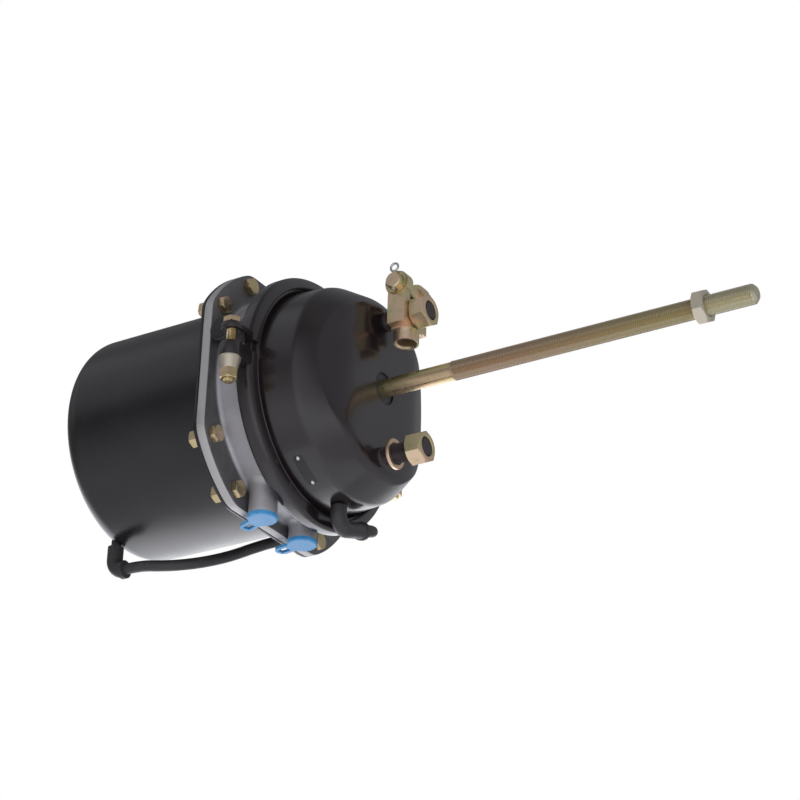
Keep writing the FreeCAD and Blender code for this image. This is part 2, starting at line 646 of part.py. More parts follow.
def clamp_fasteners():
    bolts = []
    nuts = []
    collars = []
    seat = "-upper_ear_station - upper_ear_thickness"
    for side, sign in (("near", "-"), ("far", "")):
        y = sign + "clamp_bolt_circle"
        z = "-clamp_middle"
        head = hexagon("clamp_head_" + side, "small_flats", "small_head",
                       seat + " - small_head", y, z, ALONG_X)
        shank = cylinder("clamp_shank_" + side, "small_bolt_radius", "clamp_nut_seat + small_nut + small_tail - (%s)" % seat,
                         seat, y, z, ALONG_X)
        bolts.append(fuse("clamp_bolt_" + side, head, shank))
        cone = doc.addObject("Part::Cone", "clamp_cone_" + side)
        bind(cone, Radius1="collar_radius", Radius2="small_flats / 2", Height="collar_height")
        put(cone, "collar_seat", y, z, ALONG_X)
        collars.append(cut("clamp_collar_" + side, cone,
                           cylinder("collar_bore_" + side, "small_bolt_radius + running_gap",
                                    "collar_height", "collar_seat", y, z, ALONG_X)))
        nuts.append(nut("clamp_nut_" + side, "small_flats", "small_nut", "small_bolt_radius",
                        "clamp_nut_seat", y, z, ALONG_X))
    group("clamp_bolts", *bolts)
    group("clamp_collars", *collars)
    group("clamp_nuts", *nuts)


# Intermediate housing: an aluminium casting with the bowl, the flange and the air ports
def port_places():
    """Y of the service port and of the spring port, as formulas."""
    return [("service", "-port_shift - port_spacing / 2"), ("spring", "-port_shift + port_spacing / 2")]


def intermediate_housing():
    ring_top = "-flange_low - (spigot_height - o_ring_width) / 2"
    core = turned("casting_core", [
        ("0", "-bead_low"),
        ("rim_radius", "-bead_low"),
        ("rim_radius", "-casting_rim_low"),
        ("neck_radius", "-casting_rim_low"),
        ("neck_radius", "-flange_depth"),
        ("neck_radius + 1", "-flange_depth"),
        ("neck_radius + 1", "-flange_low"),
        ("spigot_radius", "-flange_low"),
        ("spigot_radius", ring_top),
        ("spigot_radius - o_ring_depth", ring_top),
        ("spigot_radius - o_ring_depth", ring_top + " - o_ring_width"),
        ("spigot_radius", ring_top + " - o_ring_width"),
        ("spigot_radius", "-spigot_low"),
        ("0", "-spigot_low"),
    ])
    bosses = []
    for name, y in port_places():
        bosses.append(cylinder(name + "_port_boss", "port_boss_radius", "port_face - port_root",
                               "port_root", y, "-port_depth", ALONG_X))
    bosses.append(cylinder("blank_boss", "blank_boss_radius", "blank_boss_face - bowl_floor_radius",
                           "-blank_shift", "-blank_boss_face", "-blank_depth", ALONG_Y))
    solid = fuse("casting_solid", core, lobed_plate("casting_flange", "flange_depth", "flange_thickness"), *bosses)
    bowl = turned("bowl", [
        ("0", "-bead_low"),
        ("bowl_mouth_radius", "-bead_low"),
        ("bowl_mouth_radius", "-bead_low - 2"),
        ("bowl_floor_radius", "-bowl_depth"),
        ("0", "-bowl_depth"),
    ])
    round_rims(bowl, "6", ("bowl_floor_radius", "-bowl_depth"))
    well = turned("casting_well", [
        ("boss_radius", "-spigot_low"),
        ("spigot_radius - spigot_wall", "-spigot_low"),
        ("spigot_radius - spigot_wall - 4", "-web_low"),
        ("boss_radius + 2", "-web_low"),
    ])
    bore = turned("casting_bore", [
        ("0", "-bowl_depth"),
        ("tube_radius + seat_gap", "-bowl_depth"),
        ("tube_radius + seat_gap", "-bowl_depth - guide_lip"),
        ("guide_outer", "-bowl_depth - guide_lip"),
        ("guide_outer", "-spigot_low"),
        ("0", "-spigot_low"),
    ])
    tools = [bowl, well, bore]
    for name, y in port_places():
        z = "-port_depth"
        thread_start = "port_face - port_mouth_depth - port_thread_length"
        tools.append(cylinder(name + "_mouth", "port_mouth_radius", "port_mouth_depth",
                              "port_face - port_mouth_depth", y, z, ALONG_X))
        tools.append(cylinder(name + "_thread", "large_bolt_radius", "port_thread_length",
                              thread_start, y, z, ALONG_X))
    tools.append(cylinder("service_duct", "port_duct_radius", "port_thread_length * 2",
                          "port_face - port_mouth_depth - port_thread_length * 3",
                          port_places()[0][1], "-port_depth", ALONG_X))
    tools.append(cylinder("spring_duct", "port_duct_radius", "port_depth",
                          "port_face - port_mouth_depth - port_thread_length", port_places()[1][1],
                          "-port_depth * 2"))
    tools += bolt_holes("casting", "flange_depth", "flange_thickness")
    casting = cut("casting", solid, *tools)
    node(casting, "intermediate_housing")


def housing_seals():
    middle = "-flange_low - spigot_height / 2"
    node(ring("housing_ring", "spigot_radius - o_ring_depth + running_gap", "ring_radius",
              middle + " - o_ring_width / 2", middle + " + o_ring_width / 2"), "housing_o_ring")
    stack = [("tube_guide_bush", "bush_height"), ("tube_seal", "seal_height"), ("tube_wiper", "seal_height")]
    top = "-bowl_depth - guide_lip"
    for name, height in stack:
        low = "%s - %s" % (top, height)
        node(ring(name + "_ring", "guide_radius", "guide_outer - running_gap", low, top), name)
        top = low


# Port plugs with their pull tabs, and the black cap on the third boss
def port_plug(name, y, tab_angle):
    """Makes one plastic plug; the tab leaves the disc at tab_angle round +X from -Z."""
    disc = turned(name + "_disc", [
        ("plug_bore_radius", "-port_mouth_depth + seat_gap"),
        ("port_mouth_radius - seat_gap", "-port_mouth_depth + seat_gap"),
        ("port_mouth_radius - seat_gap", "0"),
        ("plug_radius", "0"),
        ("plug_radius", "plug_thickness - 1"),
        ("plug_radius - 1", "plug_thickness"),
        ("0", "plug_thickness"),
        ("0", "plug_thickness - 1.5"),
        ("plug_bore_radius", "plug_thickness - 1.5"),
    ])
    root = "plug_radius - 3"
    straight = block(name + "_tab", "tab_reach - tab_width / 2 - (%s)" % root, "tab_width",
                     "tab_thickness", root, "-tab_width / 2", "0.4")
    end = cylinder(name + "_tab_end", "tab_width / 2", "tab_thickness", "tab_reach - tab_width / 2", "0", "0.4")
    slot = block(name + "_slot", "tab_slot * 1.5", "tab_slot", "tab_thickness * 2",
                 "tab_reach - tab_width / 2 - tab_slot", "-tab_slot / 2", "0")
    plug = fuse(name + "_shape", disc, cut(name + "_open_tab", fuse(name + "_strip", straight, end), slot))
    placed = group(name, plug)
    put(placed, "port_face", y, "-port_depth", ALONG_X.multiply(Rotation(Vector(0, 0, 1), tab_angle)))


def port_closures():
    tab_angles = {"service": 22.6, "spring": 8}
    for name, y in port_places():
        port_plug(name + "_port_plug", y, tab_angles[name])
    cap = turned("cap", [
        ("0", "0"),
        ("blank_boss_radius + 0.5", "0"),
        ("blank_boss_radius + 0.5", "blank_cap_height"),
        ("0", "blank_cap_height"),
    ])
    round_rims(cap, "2.5", ("blank_boss_radius + 0.5", "blank_cap_height"))
    node(put(cap, "-blank_shift", "-blank_boss_face", "-blank_depth", AGAINST_Y), "blank_port_cap")


# Bolts through the two flanges
def flange_fasteners():
    bolts = []
    nuts = []
    for index, (x, y) in enumerate(flange_bolt_places()):
        head = hexagon("flange_head%d" % index, "small_flats", "small_head", x, y, "-flange_depth")
        length = "flange_thickness + steel_flange + small_nut + small_tail"
        shank = cylinder("flange_shank%d" % index, "small_bolt_radius", length, x, y,
                         "-flange_depth - (%s)" % length)
        bolts.append(fuse("flange_bolt%d" % index, head, shank))
        nuts.append(nut("flange_nut%d" % index, "small_flats", "small_nut", "small_bolt_radius",
                        x, y, "-steel_low - small_nut"))
    group("flange_bolts", *bolts)
    group("flange_nuts", *nuts)


# Spring cylinder: a deep-drawn steel cup with an out-turned flange
def spring_cylinder():
    inner_recess = "recess_radius + cylinder_wall"
    cup = turned("cup", [
        ("cylinder_bore", "-flange_low"),
        ("cylinder_radius", "-flange_low"),
        ("cylinder_radius", "-body_depth"),
        ("recess_radius", "-body_depth"),
        ("recess_radius - recess_draft", "-recess_floor"),
        ("release_boss_radius", "-recess_floor"),
        ("release_boss_radius", "-recess_floor + cylinder_wall"),
        (inner_recess + " - recess_draft", "-recess_floor + cylinder_wall"),
        (inner_recess, "-rear_inside"),
        ("cylinder_bore", "-rear_inside"),
    ])
    round_rims(cup, "cylinder_corner", ("cylinder_radius", "-body_depth"))
    round_rims(cup, "cylinder_corner - cylinder_wall", ("cylinder_bore", "-rear_inside"))
    plate = lobed_plate("steel_plate", "flange_low", "steel_flange")
    opening = cylinder("steel_opening", "cylinder_bore", "steel_flange", z="-steel_low")
    flange = cut("steel_rim", plate, opening, *bolt_holes("steel", "flange_low", "steel_flange"))
    vent = cylinder("rear_vent_hole", "elbow_stub_radius + running_gap", "cylinder_wall * 6",
                    "cylinder_radius - cylinder_wall * 5", "-rear_vent_shift", "-rear_vent_depth", ALONG_X)
    node(cut("spring_cup", fuse("cup_and_flange", cup, flange), vent), "spring_cylinder")
    node(ring("boss", "large_bolt_radius + running_gap", "release_boss_radius - running_gap",
              "-recess_floor", "-recess_floor + release_boss_height"), "release_boss")


# Spring piston, its tube and rings, the power spring and the release bolt
def spring_piston():
    low = "-piston_low"
    seal_top = "-piston_depth - piston_web - 2"
    guide_top = seal_top + " - seal_height - 4"
    node(turned("piston", [
        ("tube_radius", "-piston_depth"),
        ("spigot_radius - 2", "-piston_depth"),
        ("spigot_radius", "-piston_depth - 2"),
        ("spigot_radius", seal_top),
        ("spigot_radius - o_ring_depth", seal_top),
        ("spigot_radius - o_ring_depth", seal_top + " - seal_height"),
        ("spigot_radius", seal_top + " - seal_height"),
        ("spigot_radius", guide_top),
        ("spigot_radius - o_ring_depth / 2", guide_top),
        ("spigot_radius - o_ring_depth / 2", guide_top + " - seal_height"),
        ("spigot_radius", guide_top + " - seal_height"),
        ("spigot_radius", low),
        ("spigot_radius - piston_rim_wall", low),
        ("spigot_radius - piston_rim_wall - 4", "-piston_depth - piston_web"),
        ("piston_hub_radius + 2", "-piston_depth - piston_web"),
        ("piston_hub_radius", low),
        ("tube_radius", low),
    ]), "spring_piston")
    node(ring("piston_lip", "spigot_radius - o_ring_depth + running_gap", "ring_radius",
              seal_top + " - seal_height", seal_top), "piston_seal")
    node(ring("piston_band", "spigot_radius - o_ring_depth / 2 + running_gap", "ring_radius",
              guide_top + " - seal_height", guide_top), "piston_guide_ring")
    pad_low = "-tube_top - tube_pad_height"
    node(turned("tube", [
        ("large_bolt_radius + bolt_gap", low + " - tube_floor"),
        ("tube_radius", low + " - tube_floor"),
        ("tube_radius", pad_low),
        ("tube_bore_radius", pad_low),
        ("tube_bore_radius", low),
        ("large_bolt_radius + bolt_gap", low),
    ]), "piston_tube")
    node(turned("pad", [
        ("0", "-tube_top"),
        ("tube_radius - 2", "-tube_top"),
        ("tube_radius", "-tube_top - 2"),
        ("tube_radius", pad_low),
        ("tube_bore_radius - running_gap", pad_low),
        ("tube_bore_radius - running_gap", pad_low + " - 5"),
        ("0", pad_low + " - 5"),
    ]), "tube_pad")
    coil("power_spring", "spring_wire", "spring_radius", "spring_radius",
         "-rear_inside + spring_wire / 2 + seat_gap",
         "-piston_depth - piston_web - spring_wire / 2 - seat_gap", 4.5)


def release_bolt():
    top = "-thrust_low + thrust_thickness"
    node(ring("thrust", "large_bolt_radius + running_gap", "thrust_radius", "-thrust_low", top),
         "release_thrust_washer")
    stem = turned("release_stem", [
        ("0", "-release_seat"),
        ("large_bolt_radius", "-release_seat"),
        ("large_bolt_radius", top + " + stop_height"),
        ("large_bolt_radius - thread_chamfer", top + " + stop_height + thread_chamfer"),
        ("0", top + " + stop_height + thread_chamfer"),
    ])
    head = hexagon("release_hexagon", "large_flats", "release_head", z="-release_seat - release_head")
    node(fuse("release_screw", stem, head), "release_bolt")
    node(ring("release_flat", "large_bolt_radius + running_gap", "washer_radius - 1", "-release_seat",
              "-recess_floor"), "release_washer")
    node(ring("stop", "large_bolt_radius", "thrust_radius - 1", top, top + " + stop_height"),
         "release_stop_nut")


# Clevis with its pin, hung on one stud behind the nut
def clevis():
    x = "-stud_x"
    low = "clevis_low"
    end = "-stud_x - clevis_pin_rise"
    eye_low = "clevis_middle - clevis_eye_radius"
    legs = block("clevis_legs", "clevis_pin_rise + clevis_slot / 2 + clevis_root", "2 * clevis_halfwidth",
                 "clevis_thickness", end, "-clevis_halfwidth", low)
    eyes = cylinder("clevis_eyes", "clevis_eye_radius", "2 * clevis_halfwidth",
                    end, "-clevis_halfwidth", "clevis_middle", ALONG_Y)
    root = block("clevis_root_block", "clevis_neck_rise - clevis_slot / 2", "2 * clevis_neck_radius",
                 "clevis_thickness", x + " + clevis_slot / 2", "-clevis_neck_radius", low)
    neck = cylinder("clevis_neck", "clevis_neck_radius", "clevis_mouth - clevis_neck_rise",
                    x + " + clevis_neck_rise", "0", "clevis_middle", ALONG_X)
    whole = fuse("clevis_block", legs, eyes, root, neck)
    slot = block("clevis_gap", "clevis_pin_rise * 2 + clevis_slot / 2", "clevis_slot",
                 "2 * clevis_eye_radius", end + " - clevis_pin_rise", "-clevis_slot / 2", eye_low)
    bore = cylinder("clevis_bore", "large_bolt_radius - 0.7", "clevis_mouth", x, "0", "clevis_middle", ALONG_X)
    flare = doc.addObject("Part::Cone", "clevis_flare")
    bind(flare, Radius1="large_bolt_radius - 0.7", Radius2="large_bolt_radius - 0.7 + clevis_mouth_chamfer",
         Height="clevis_mouth_chamfer")
    put(flare, x + " + clevis_mouth - clevis_mouth_chamfer", "0", "clevis_middle", ALONG_X)
    pin_hole = cylinder("clevis_pin_hole", "clevis_pin_radius + running_gap", "2 * clevis_halfwidth",
                        end, "-clevis_halfwidth", "clevis_middle", ALONG_Y)
    node(cut("fork", whole, slot, bore, flare, pin_hole), "clevis")
    pin = turned("pin", [
        ("0", "-clevis_halfwidth - pin_tail"),
        ("clevis_pin_radius - 1", "-clevis_halfwidth - pin_tail"),
        ("clevis_pin_radius", "-clevis_halfwidth - pin_tail + 1"),
        ("clevis_pin_radius", "clevis_halfwidth + seat_gap"),
        ("pin_head_radius", "clevis_halfwidth + seat_gap"),
        ("pin_head_radius", "clevis_halfwidth + seat_gap + pin_head_height"),
        ("0", "clevis_halfwidth + seat_gap + pin_head_height"),
    ])
    put(pin, end, "0", "clevis_middle", ALONG_Y)
    cotter_y = "-clevis_halfwidth - pin_tail / 2 - pin_washer_thickness / 2"
    cotter_hole = cylinder("cotter_hole", "cotter_radius + running_gap", "4 * clevis_pin_radius",
                           end + " - 2 * clevis_pin_radius", cotter_y, "clevis_middle", ALONG_X)
    node(cut("drilled_pin", pin, cotter_hole), "clevis_pin")
    washer = ring("pin_washer", "clevis_pin_radius + running_gap", "pin_washer_radius",
                  "0", "pin_washer_thickness")
    put(washer, end, "-clevis_halfwidth - seat_gap", "clevis_middle", AGAINST_Y)
    node(washer, "clevis_pin_washer")
    shank = cylinder("cotter_shank", "cotter_radius", "cotter_tail + clevis_pin_radius + cotter_radius",
                     end + " - clevis_pin_radius - cotter_radius", cotter_y, "clevis_middle", ALONG_X)
    loop = doc.addObject("Part::Torus", "cotter_loop")
    bind(loop, Radius1="cotter_loop_radius", Radius2="cotter_radius * 0.6")
    put(loop, end + " - clevis_pin_radius - cotter_radius - cotter_loop_radius", cotter_y,
        "clevis_middle", ALONG_Y)
    node(fuse("split_pin", shank, loop), "clevis_cotter")


# Vent hose, from the spring cylinder's rear corner to the service housing
def elbow(name, foot, corner, end):
    """Makes a hollow elbow with a collar at its hose end and a stub in the wall."""
    path, radii = route([foot, corner, end], size("elbow_bend"))
    solid = pipe(path, size("elbow_radius"))
    outward = (corner - foot).normalize()
    stub = Part.makeCylinder(size("elbow_stub_radius"), size("service_wall * 2"),
                             foot - outward * size("service_wall * 2 - 1"), outward)
    along = (end - corner).normalize()
    collar = Part.makeCylinder(size("elbow_collar_radius"), size("elbow_collar_height"),
                               end - along * size("elbow_collar_height"), along)
    bore = pipe(path, size("hose_bore"))
    node(shape_object(name + "_form", solid.fuse([stub, collar]).cut(bore)), name)


def vent_line():
    front_corner = Vector(size("front_vent_reach"), size("front_vent_shift"), -size("front_vent_depth"))
    front_end = front_corner + Vector(-size("front_leg_back"), size("front_leg_length"), -size("front_leg_fall"))
    front_foot = Vector(size("service_radius"), front_corner.y, front_corner.z)
    elbow("front_vent_elbow", front_foot, front_corner, front_end)
    rear_corner = Vector(size("rear_vent_reach"), -size("rear_vent_shift"), -size("rear_vent_depth"))
    rear_end = rear_corner + Vector(0, 0, size("rear_leg_length"))
    rear_foot = Vector(size("cylinder_radius - seat_gap"), rear_corner.y, rear_corner.z)
    elbow("rear_vent_elbow", rear_foot, rear_corner, rear_end)
    lead = size("hose_lead")
    leave = rear_end + Vector(0, 0, lead)
    arrive = front_end + (front_end - front_corner).normalize() * lead
    # The hose hangs free between its straight ends, round the flange and in front of the clamp ring
    hanging = [
        Vector(117, -9.9, -198.6),
        Vector(114.1, 2.2, -181.3),
        Vector(106.6, 18.4, -169.4),
        Vector(95.7, 37.6, -164.7),
        Vector(82.5, 58.8, -165.1),
        Vector(69.5, 79.8, -160.4),
        Vector(59.6, 97.7, -145.6),
        Vector(55.9, 108.9, -123.4),
        Vector(58.8, 110.2, -98.4),
        Vector(66.9, 101.1, -76.3),
        Vector(78.9, 82.7, -59.8),
    ]
    path, radii = route([rear_end, leave] + hanging + [arrive, front_end], None)
    print("hose arcs", radii, "length", round(path.Length, 1))
    solid = pipe(path, size("hose_radius"))
    print("hose volume over section times length",
          solid.Volume / (math.pi * size("hose_radius") ** 2 * path.Length))
    node(shape_object("hose_form", solid.cut(pipe(path, size("hose_bore")))), "vent_hose")


service_housing()
mounting_fasteners()
push_rod()
diaphragm()
clamp_ring()
clamp_fasteners()
intermediate_housing()
housing_seals()
port_closures()
flange_fasteners()
spring_cylinder()
spring_piston()
release_bolt()
clevis()
vent_line()
doc.recompute()

for thing in doc.Objects:
    if "Invalid" in thing.State or "Error" in thing.State:
        raise RuntimeError("%s did not compute" % thing.Label)
for thing in NODES:
    if thing.Shape.isNull() or not thing.Shape.isValid():
        raise RuntimeError("%s has no valid shape" % thing.Label)

os.makedirs("parts", exist_ok=True)
for thing in NODES:
    thing.Shape.exportStep("parts/%s.step" % thing.Label)
print(len(NODES), "nodes written")
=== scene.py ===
import json
import math

import bmesh
import bpy
import numpy as np
from mathutils import Matrix, Vector


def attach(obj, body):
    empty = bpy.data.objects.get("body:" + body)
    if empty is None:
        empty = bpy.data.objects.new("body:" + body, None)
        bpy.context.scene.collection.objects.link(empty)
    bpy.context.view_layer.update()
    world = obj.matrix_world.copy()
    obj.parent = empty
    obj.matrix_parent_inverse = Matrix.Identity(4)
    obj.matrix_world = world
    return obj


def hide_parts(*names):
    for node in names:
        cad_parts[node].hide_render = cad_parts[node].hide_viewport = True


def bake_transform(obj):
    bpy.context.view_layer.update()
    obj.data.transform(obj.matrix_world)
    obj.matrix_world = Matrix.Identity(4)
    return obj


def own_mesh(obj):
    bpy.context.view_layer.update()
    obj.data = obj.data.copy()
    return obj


# An air brake chamber with its spring brake, seen as in a parts catalogue.
# The sizes are millimetres, made metres as each mesh is written.

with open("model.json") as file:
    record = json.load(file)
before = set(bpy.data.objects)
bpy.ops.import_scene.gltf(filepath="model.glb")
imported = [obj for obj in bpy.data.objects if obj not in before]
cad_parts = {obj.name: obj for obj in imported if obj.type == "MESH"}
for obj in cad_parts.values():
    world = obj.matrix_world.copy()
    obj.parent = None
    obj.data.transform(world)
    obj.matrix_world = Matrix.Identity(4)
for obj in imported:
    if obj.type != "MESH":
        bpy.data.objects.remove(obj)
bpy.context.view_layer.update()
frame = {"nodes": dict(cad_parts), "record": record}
scene = bpy.context.scene
scene.view_settings.view_transform = "Standard"
MM = 0.001
SIDES = (-1, 1)


# Camera
# The part is seen from between its -Y side and its port side, a little from the rod's end,
# and rolled so that the rod runs to the right and the ports hang down.
def added(name, data):
    """Adds an object to the scene."""
    made = bpy.data.objects.new(name, data)
    scene.collection.objects.link(made)
    return made


BACK = Vector((0.45756, -0.74606, 0.48376))
RIGHT = Vector((-0.03274, 0.52955, 0.84765))
UP = Vector((-0.88857, -0.40369, 0.21788))
CAMERA_DISTANCE = 2
camera = added("camera", bpy.data.cameras.new("camera"))
camera.data.lens = 113.4
camera.data.shift_x = 0.01924
camera.data.shift_y = -0.01408
camera.data.clip_end = 20
turned = Matrix((RIGHT, UP, BACK)).transposed().to_4x4()
camera.matrix_world = Matrix.Translation(BACK * CAMERA_DISTANCE) @ turned
scene.camera = camera


# Vent hose
# A black rubber breather hose. It runs from the spring cylinder's rear corner, round the
# far side of the flange and the clamp ring, to the service housing.
class Wire:
    """A socket with arithmetic: an expression on wires adds its Math nodes."""

    def __init__(self, finish, socket):
        self.finish = finish
        self.socket = socket

    def __add__(self, other):
        return self.finish.maths("ADD", self, other)

    def __mul__(self, other):
        return self.finish.maths("MULTIPLY", self, other)

    __radd__ = __add__
    __rmul__ = __mul__


class Finish:
    """A material on the Principled shader, whose patterns follow the object's own space."""

    def __init__(self, name, color, roughness, metallic=0.0, **fixed):
        self.material = bpy.data.materials.new(name)
        self.material.use_nodes = True
        self.tree = self.material.node_tree
        self.shader = self.tree.nodes["Principled BSDF"]
        self.set("Base Color", (*color, 1))
        self.set("Roughness", roughness)
        self.set("Metallic", metallic)
        for words, value in fixed.items():
            self.set(words.replace("_", " ").title(), value)
        self.place = Wire(self, self.tree.nodes.new("ShaderNodeTexCoord").outputs["Object"])

    def set(self, name, value):
        """Gives one of the shader's sockets a value or a wire."""
        socket = self.shader.inputs[name]
        if isinstance(value, Wire):
            self.tree.links.new(value.socket, socket)
        else:
            socket.default_value = value

    def node(self, kind, output, settings=None, **sockets):
        """Adds a node with its settings, feeds its sockets and returns one output."""
        made = self.tree.nodes.new("ShaderNode" + kind)
        for name, value in (settings or {}).items():
            setattr(made, name, value)
        for name, value in sockets.items():
            key = int(name[1:]) if name[1:].isdigit() else name.replace("_", " ")
            if isinstance(value, Wire):
                self.tree.links.new(value.socket, made.inputs[key])
            else:
                made.inputs[key].default_value = value
        return Wire(self, made.outputs[output])

    def maths(self, operation, first, second):
        """One Math node."""
        return self.node("Math", 0, {"operation": operation}, _0=first, _1=second)

    def noise(self, scale, detail=3.0, roughness=0.55, place=None):
        """Cloudy noise of about 1 / scale metres, from 0 to 1."""
        return self.node("TexNoise", "Fac", Vector=place or self.place, Scale=scale, Detail=detail,
                         Roughness=roughness)

    def between(self, value, low, high, start=0.0, end=1.0):
        """Stretches the part of a value from low to high over start to end."""
        return self.node("MapRange", "Result", {"interpolation_type": "SMOOTHSTEP"}, Value=value,
                         From_Min=low, From_Max=high, To_Min=start, To_Max=end)

    def mixed(self, value, low, high, first, second):
        """Goes from the first colour to the second as a value goes from low to high."""
        first = first if isinstance(first, Wire) else (*first, 1)
        second = second if isinstance(second, Wire) else (*second, 1)
        return self.node("Mix", 2, {"data_type": "RGBA"}, _0=self.between(value, low, high),
                         _6=first, _7=second)

    def bumps(self, height, depth, strength):
        """Feeds a height, in metres once multiplied by depth, to the normal."""
        self.set("Normal", self.node("Bump", 0, Strength=strength, Distance=depth, Height=height))


STOOD_FOR = set()


def dress(made, finish, body=None, replaced=()):
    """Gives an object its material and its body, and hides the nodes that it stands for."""
    made.data.materials.clear()
    made.data.materials.append(finish.material)
    if body:
        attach(made, body)
    if replaced:
        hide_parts(*replaced)
        STOOD_FOR.update(replaced)
    return made


rubber = Finish("black_rubber", (0.034, 0.0325, 0.034), 0.45)
scuffs = rubber.noise(90)
rubber.set("Roughness", rubber.between(scuffs, 0.35, 0.7, 0.4, 0.56))
rubber.set("Base Color", rubber.mixed(scuffs, 0.55, 0.8, (0.034, 0.0325, 0.034),
                                      (0.055, 0.053, 0.055)))
rubber.bumps(rubber.noise(1500), 0.00004, 0.5)

HOSE_RADIUS = 4.6
HOSE_ROUTE = [
    (115, -16, -234), (115, -16, -218), (117, -9.9, -198.6), (114.1, 2.2, -181.3),
    (106.6, 18.4, -169.4), (95.7, 37.6, -164.7), (82.5, 58.8, -165.1), (69.5, 79.8, -160.4),
    (59.6, 97.7, -145.6), (55.9, 108.9, -123.4), (58.8, 110.2, -98.4), (66.9, 101.1, -76.3),
    (78.9, 82.7, -59.8), (90, 61.9, -48.1), (95.5, 47, -46.5),
]
line = bpy.data.curves.new("vent_hose_line", "CURVE")
line.dimensions = "3D"
spline = line.splines.new("NURBS")
spline.points.add(len(HOSE_ROUTE) - 1)
for point, spot in zip(spline.points, HOSE_ROUTE):
    point.co = (*(MM * value for value in spot), 1)
spline.order_u = 3
spline.use_endpoint_u = True
spline.resolution_u = 12
line.bevel_depth = HOSE_RADIUS * MM
line.bevel_resolution = 8
line.use_fill_caps = True
hose = dress(added("breather_hose", line), rubber, "chamber", ["vent_hose"])
hose.visible_glossy = False


# Service housing
# A pressed steel cup with a flat mounting face and a bevel pressed on each side. It is
# dipped in gloss black enamel, which lies slightly wavy.
def rounded(corners, radii, steps=6):
    """Rounds the corners of a line of points: each becomes an arc that touches both sides."""
    corners = np.array(corners, float)
    out = [corners[:1]]
    for before, corner, after, radius in zip(corners, corners[1:], corners[2:], radii):
        if radius <= 0:
            out.append(corner[None])
            continue
        inward = (before - corner) / np.linalg.norm(before - corner)
        outward = (after - corner) / np.linalg.norm(after - corner)
        half = math.acos(np.clip(inward @ outward, -1, 1)) / 2
        bisector = (inward + outward) / np.linalg.norm(inward + outward)
        middle = corner + bisector * radius / math.sin(half)
        start = corner + inward * radius / math.tan(half) - middle
        end = corner + outward * radius / math.tan(half) - middle
        turn = math.pi - 2 * half
        share = np.linspace(0, 1, steps)[:, None]
        arc = (start * np.sin((1 - share) * turn) + end * np.sin(share * turn)) / math.sin(turn)
        out.append(middle + arc)
    out.append(corners[-1:])
    return np.concatenate(out)


def sheet(points, loop=False):
    """Returns the corners and the quads of a grid of points, rows by columns. The last column
    joins the first, and with loop the last row joins the first too."""
    rows, columns = points.shape[:2]
    number = np.arange(rows * columns).reshape(rows, columns)
    number = np.concatenate([number, number[:, :1]], 1)
    if loop:
        number = np.concatenate([number, number[:1]], 0)
    quads = np.stack([number[:-1, :-1], number[:-1, 1:], number[1:, 1:], number[1:, :-1]], -1)
    return points.reshape(-1, 3), quads.reshape(-1, 4)


def piece(name, parts, sharp=35):
    """Joins sheets into one mesh object, merges what meets and marks its sharp edges."""
    corners = []
    quads = []
    count = 0
    for points, faces in parts:
        corners.append(points)
        quads.append(faces + count)
        count += len(points)
    mesh = bpy.data.meshes.new(name)
    mesh.from_pydata(np.concatenate(corners) * MM, [], np.concatenate(quads))
    work = bmesh.new()
    work.from_mesh(mesh)
    bmesh.ops.remove_doubles(work, verts=work.verts, dist=1e-6)
    bmesh.ops.dissolve_degenerate(work, dist=1e-7, edges=work.edges)
    bmesh.ops.recalc_face_normals(work, faces=work.faces)
    work.to_mesh(mesh)
    work.free()
    mesh.shade_smooth()
    mesh.set_sharp_from_angle(angle=math.radians(sharp))
    return added(name, mesh)


def angles(count):
    """Angles round a full turn."""
    return np.arange(count) * 2 * math.pi / count


def spun(profile, columns):
    """Turns a line of (radius, height) points about the Z axis."""
    radius, height = np.array(profile, float).T
    turn = angles(columns)
    return np.stack([radius[:, None] * np.cos(turn), radius[:, None] * np.sin(turn),
                     np.repeat(height[:, None], columns, 1)], -1)


enamel = Finish("gloss_black_enamel", (0.011, 0.0105, 0.0108), 0.2, coat_weight=0.35,
                coat_roughness=0.08)
orange_peel = enamel.noise(260, 2)
drag = enamel.noise(22, 4)
enamel.set("Roughness", enamel.between(drag, 0.3, 0.75, 0.17, 0.3))
enamel.set("Base Color", enamel.mixed(drag, 0.4, 0.75, (0.0150, 0.0105, 0.0118),
                                      (0.0235, 0.0175, 0.0190)))
enamel.bumps(orange_peel + 0.4 * drag, 0.00012, 0.6)

WALL = 3.5
BEVEL_START = 51
BEVEL_FALL = 0.5
BEVEL_FOOT = -45
BEVEL_FADE = 12
CREASE = 2.2
# A wall on the bevel is deeper than WALL where it is measured straight down.
SLANTED_WALL = WALL * 1.12
CORNER_STEPS = 12
FACE_POINTS = 20
outer = rounded([(13.4, -WALL), (13.4, 0), (74, 0), (89.5, -27), (92, -59.5), (101, -59.5),
                 (101, -63)], [0.5, 12, 14, 3, 1], CORNER_STEPS)
inner = rounded([(88.5, -63), (88, -59), (86, -27), (72, -WALL), (13.4, -WALL)], [3, 12, 8])
# The flat face, behind the first corner, gets more points, so that the bevels can bend it.
flat_face = np.stack([np.linspace(22, 60, FACE_POINTS), np.zeros(FACE_POINTS)], -1)
outer = np.concatenate([outer[:1 + CORNER_STEPS], flat_face, outer[1 + CORNER_STEPS:]])


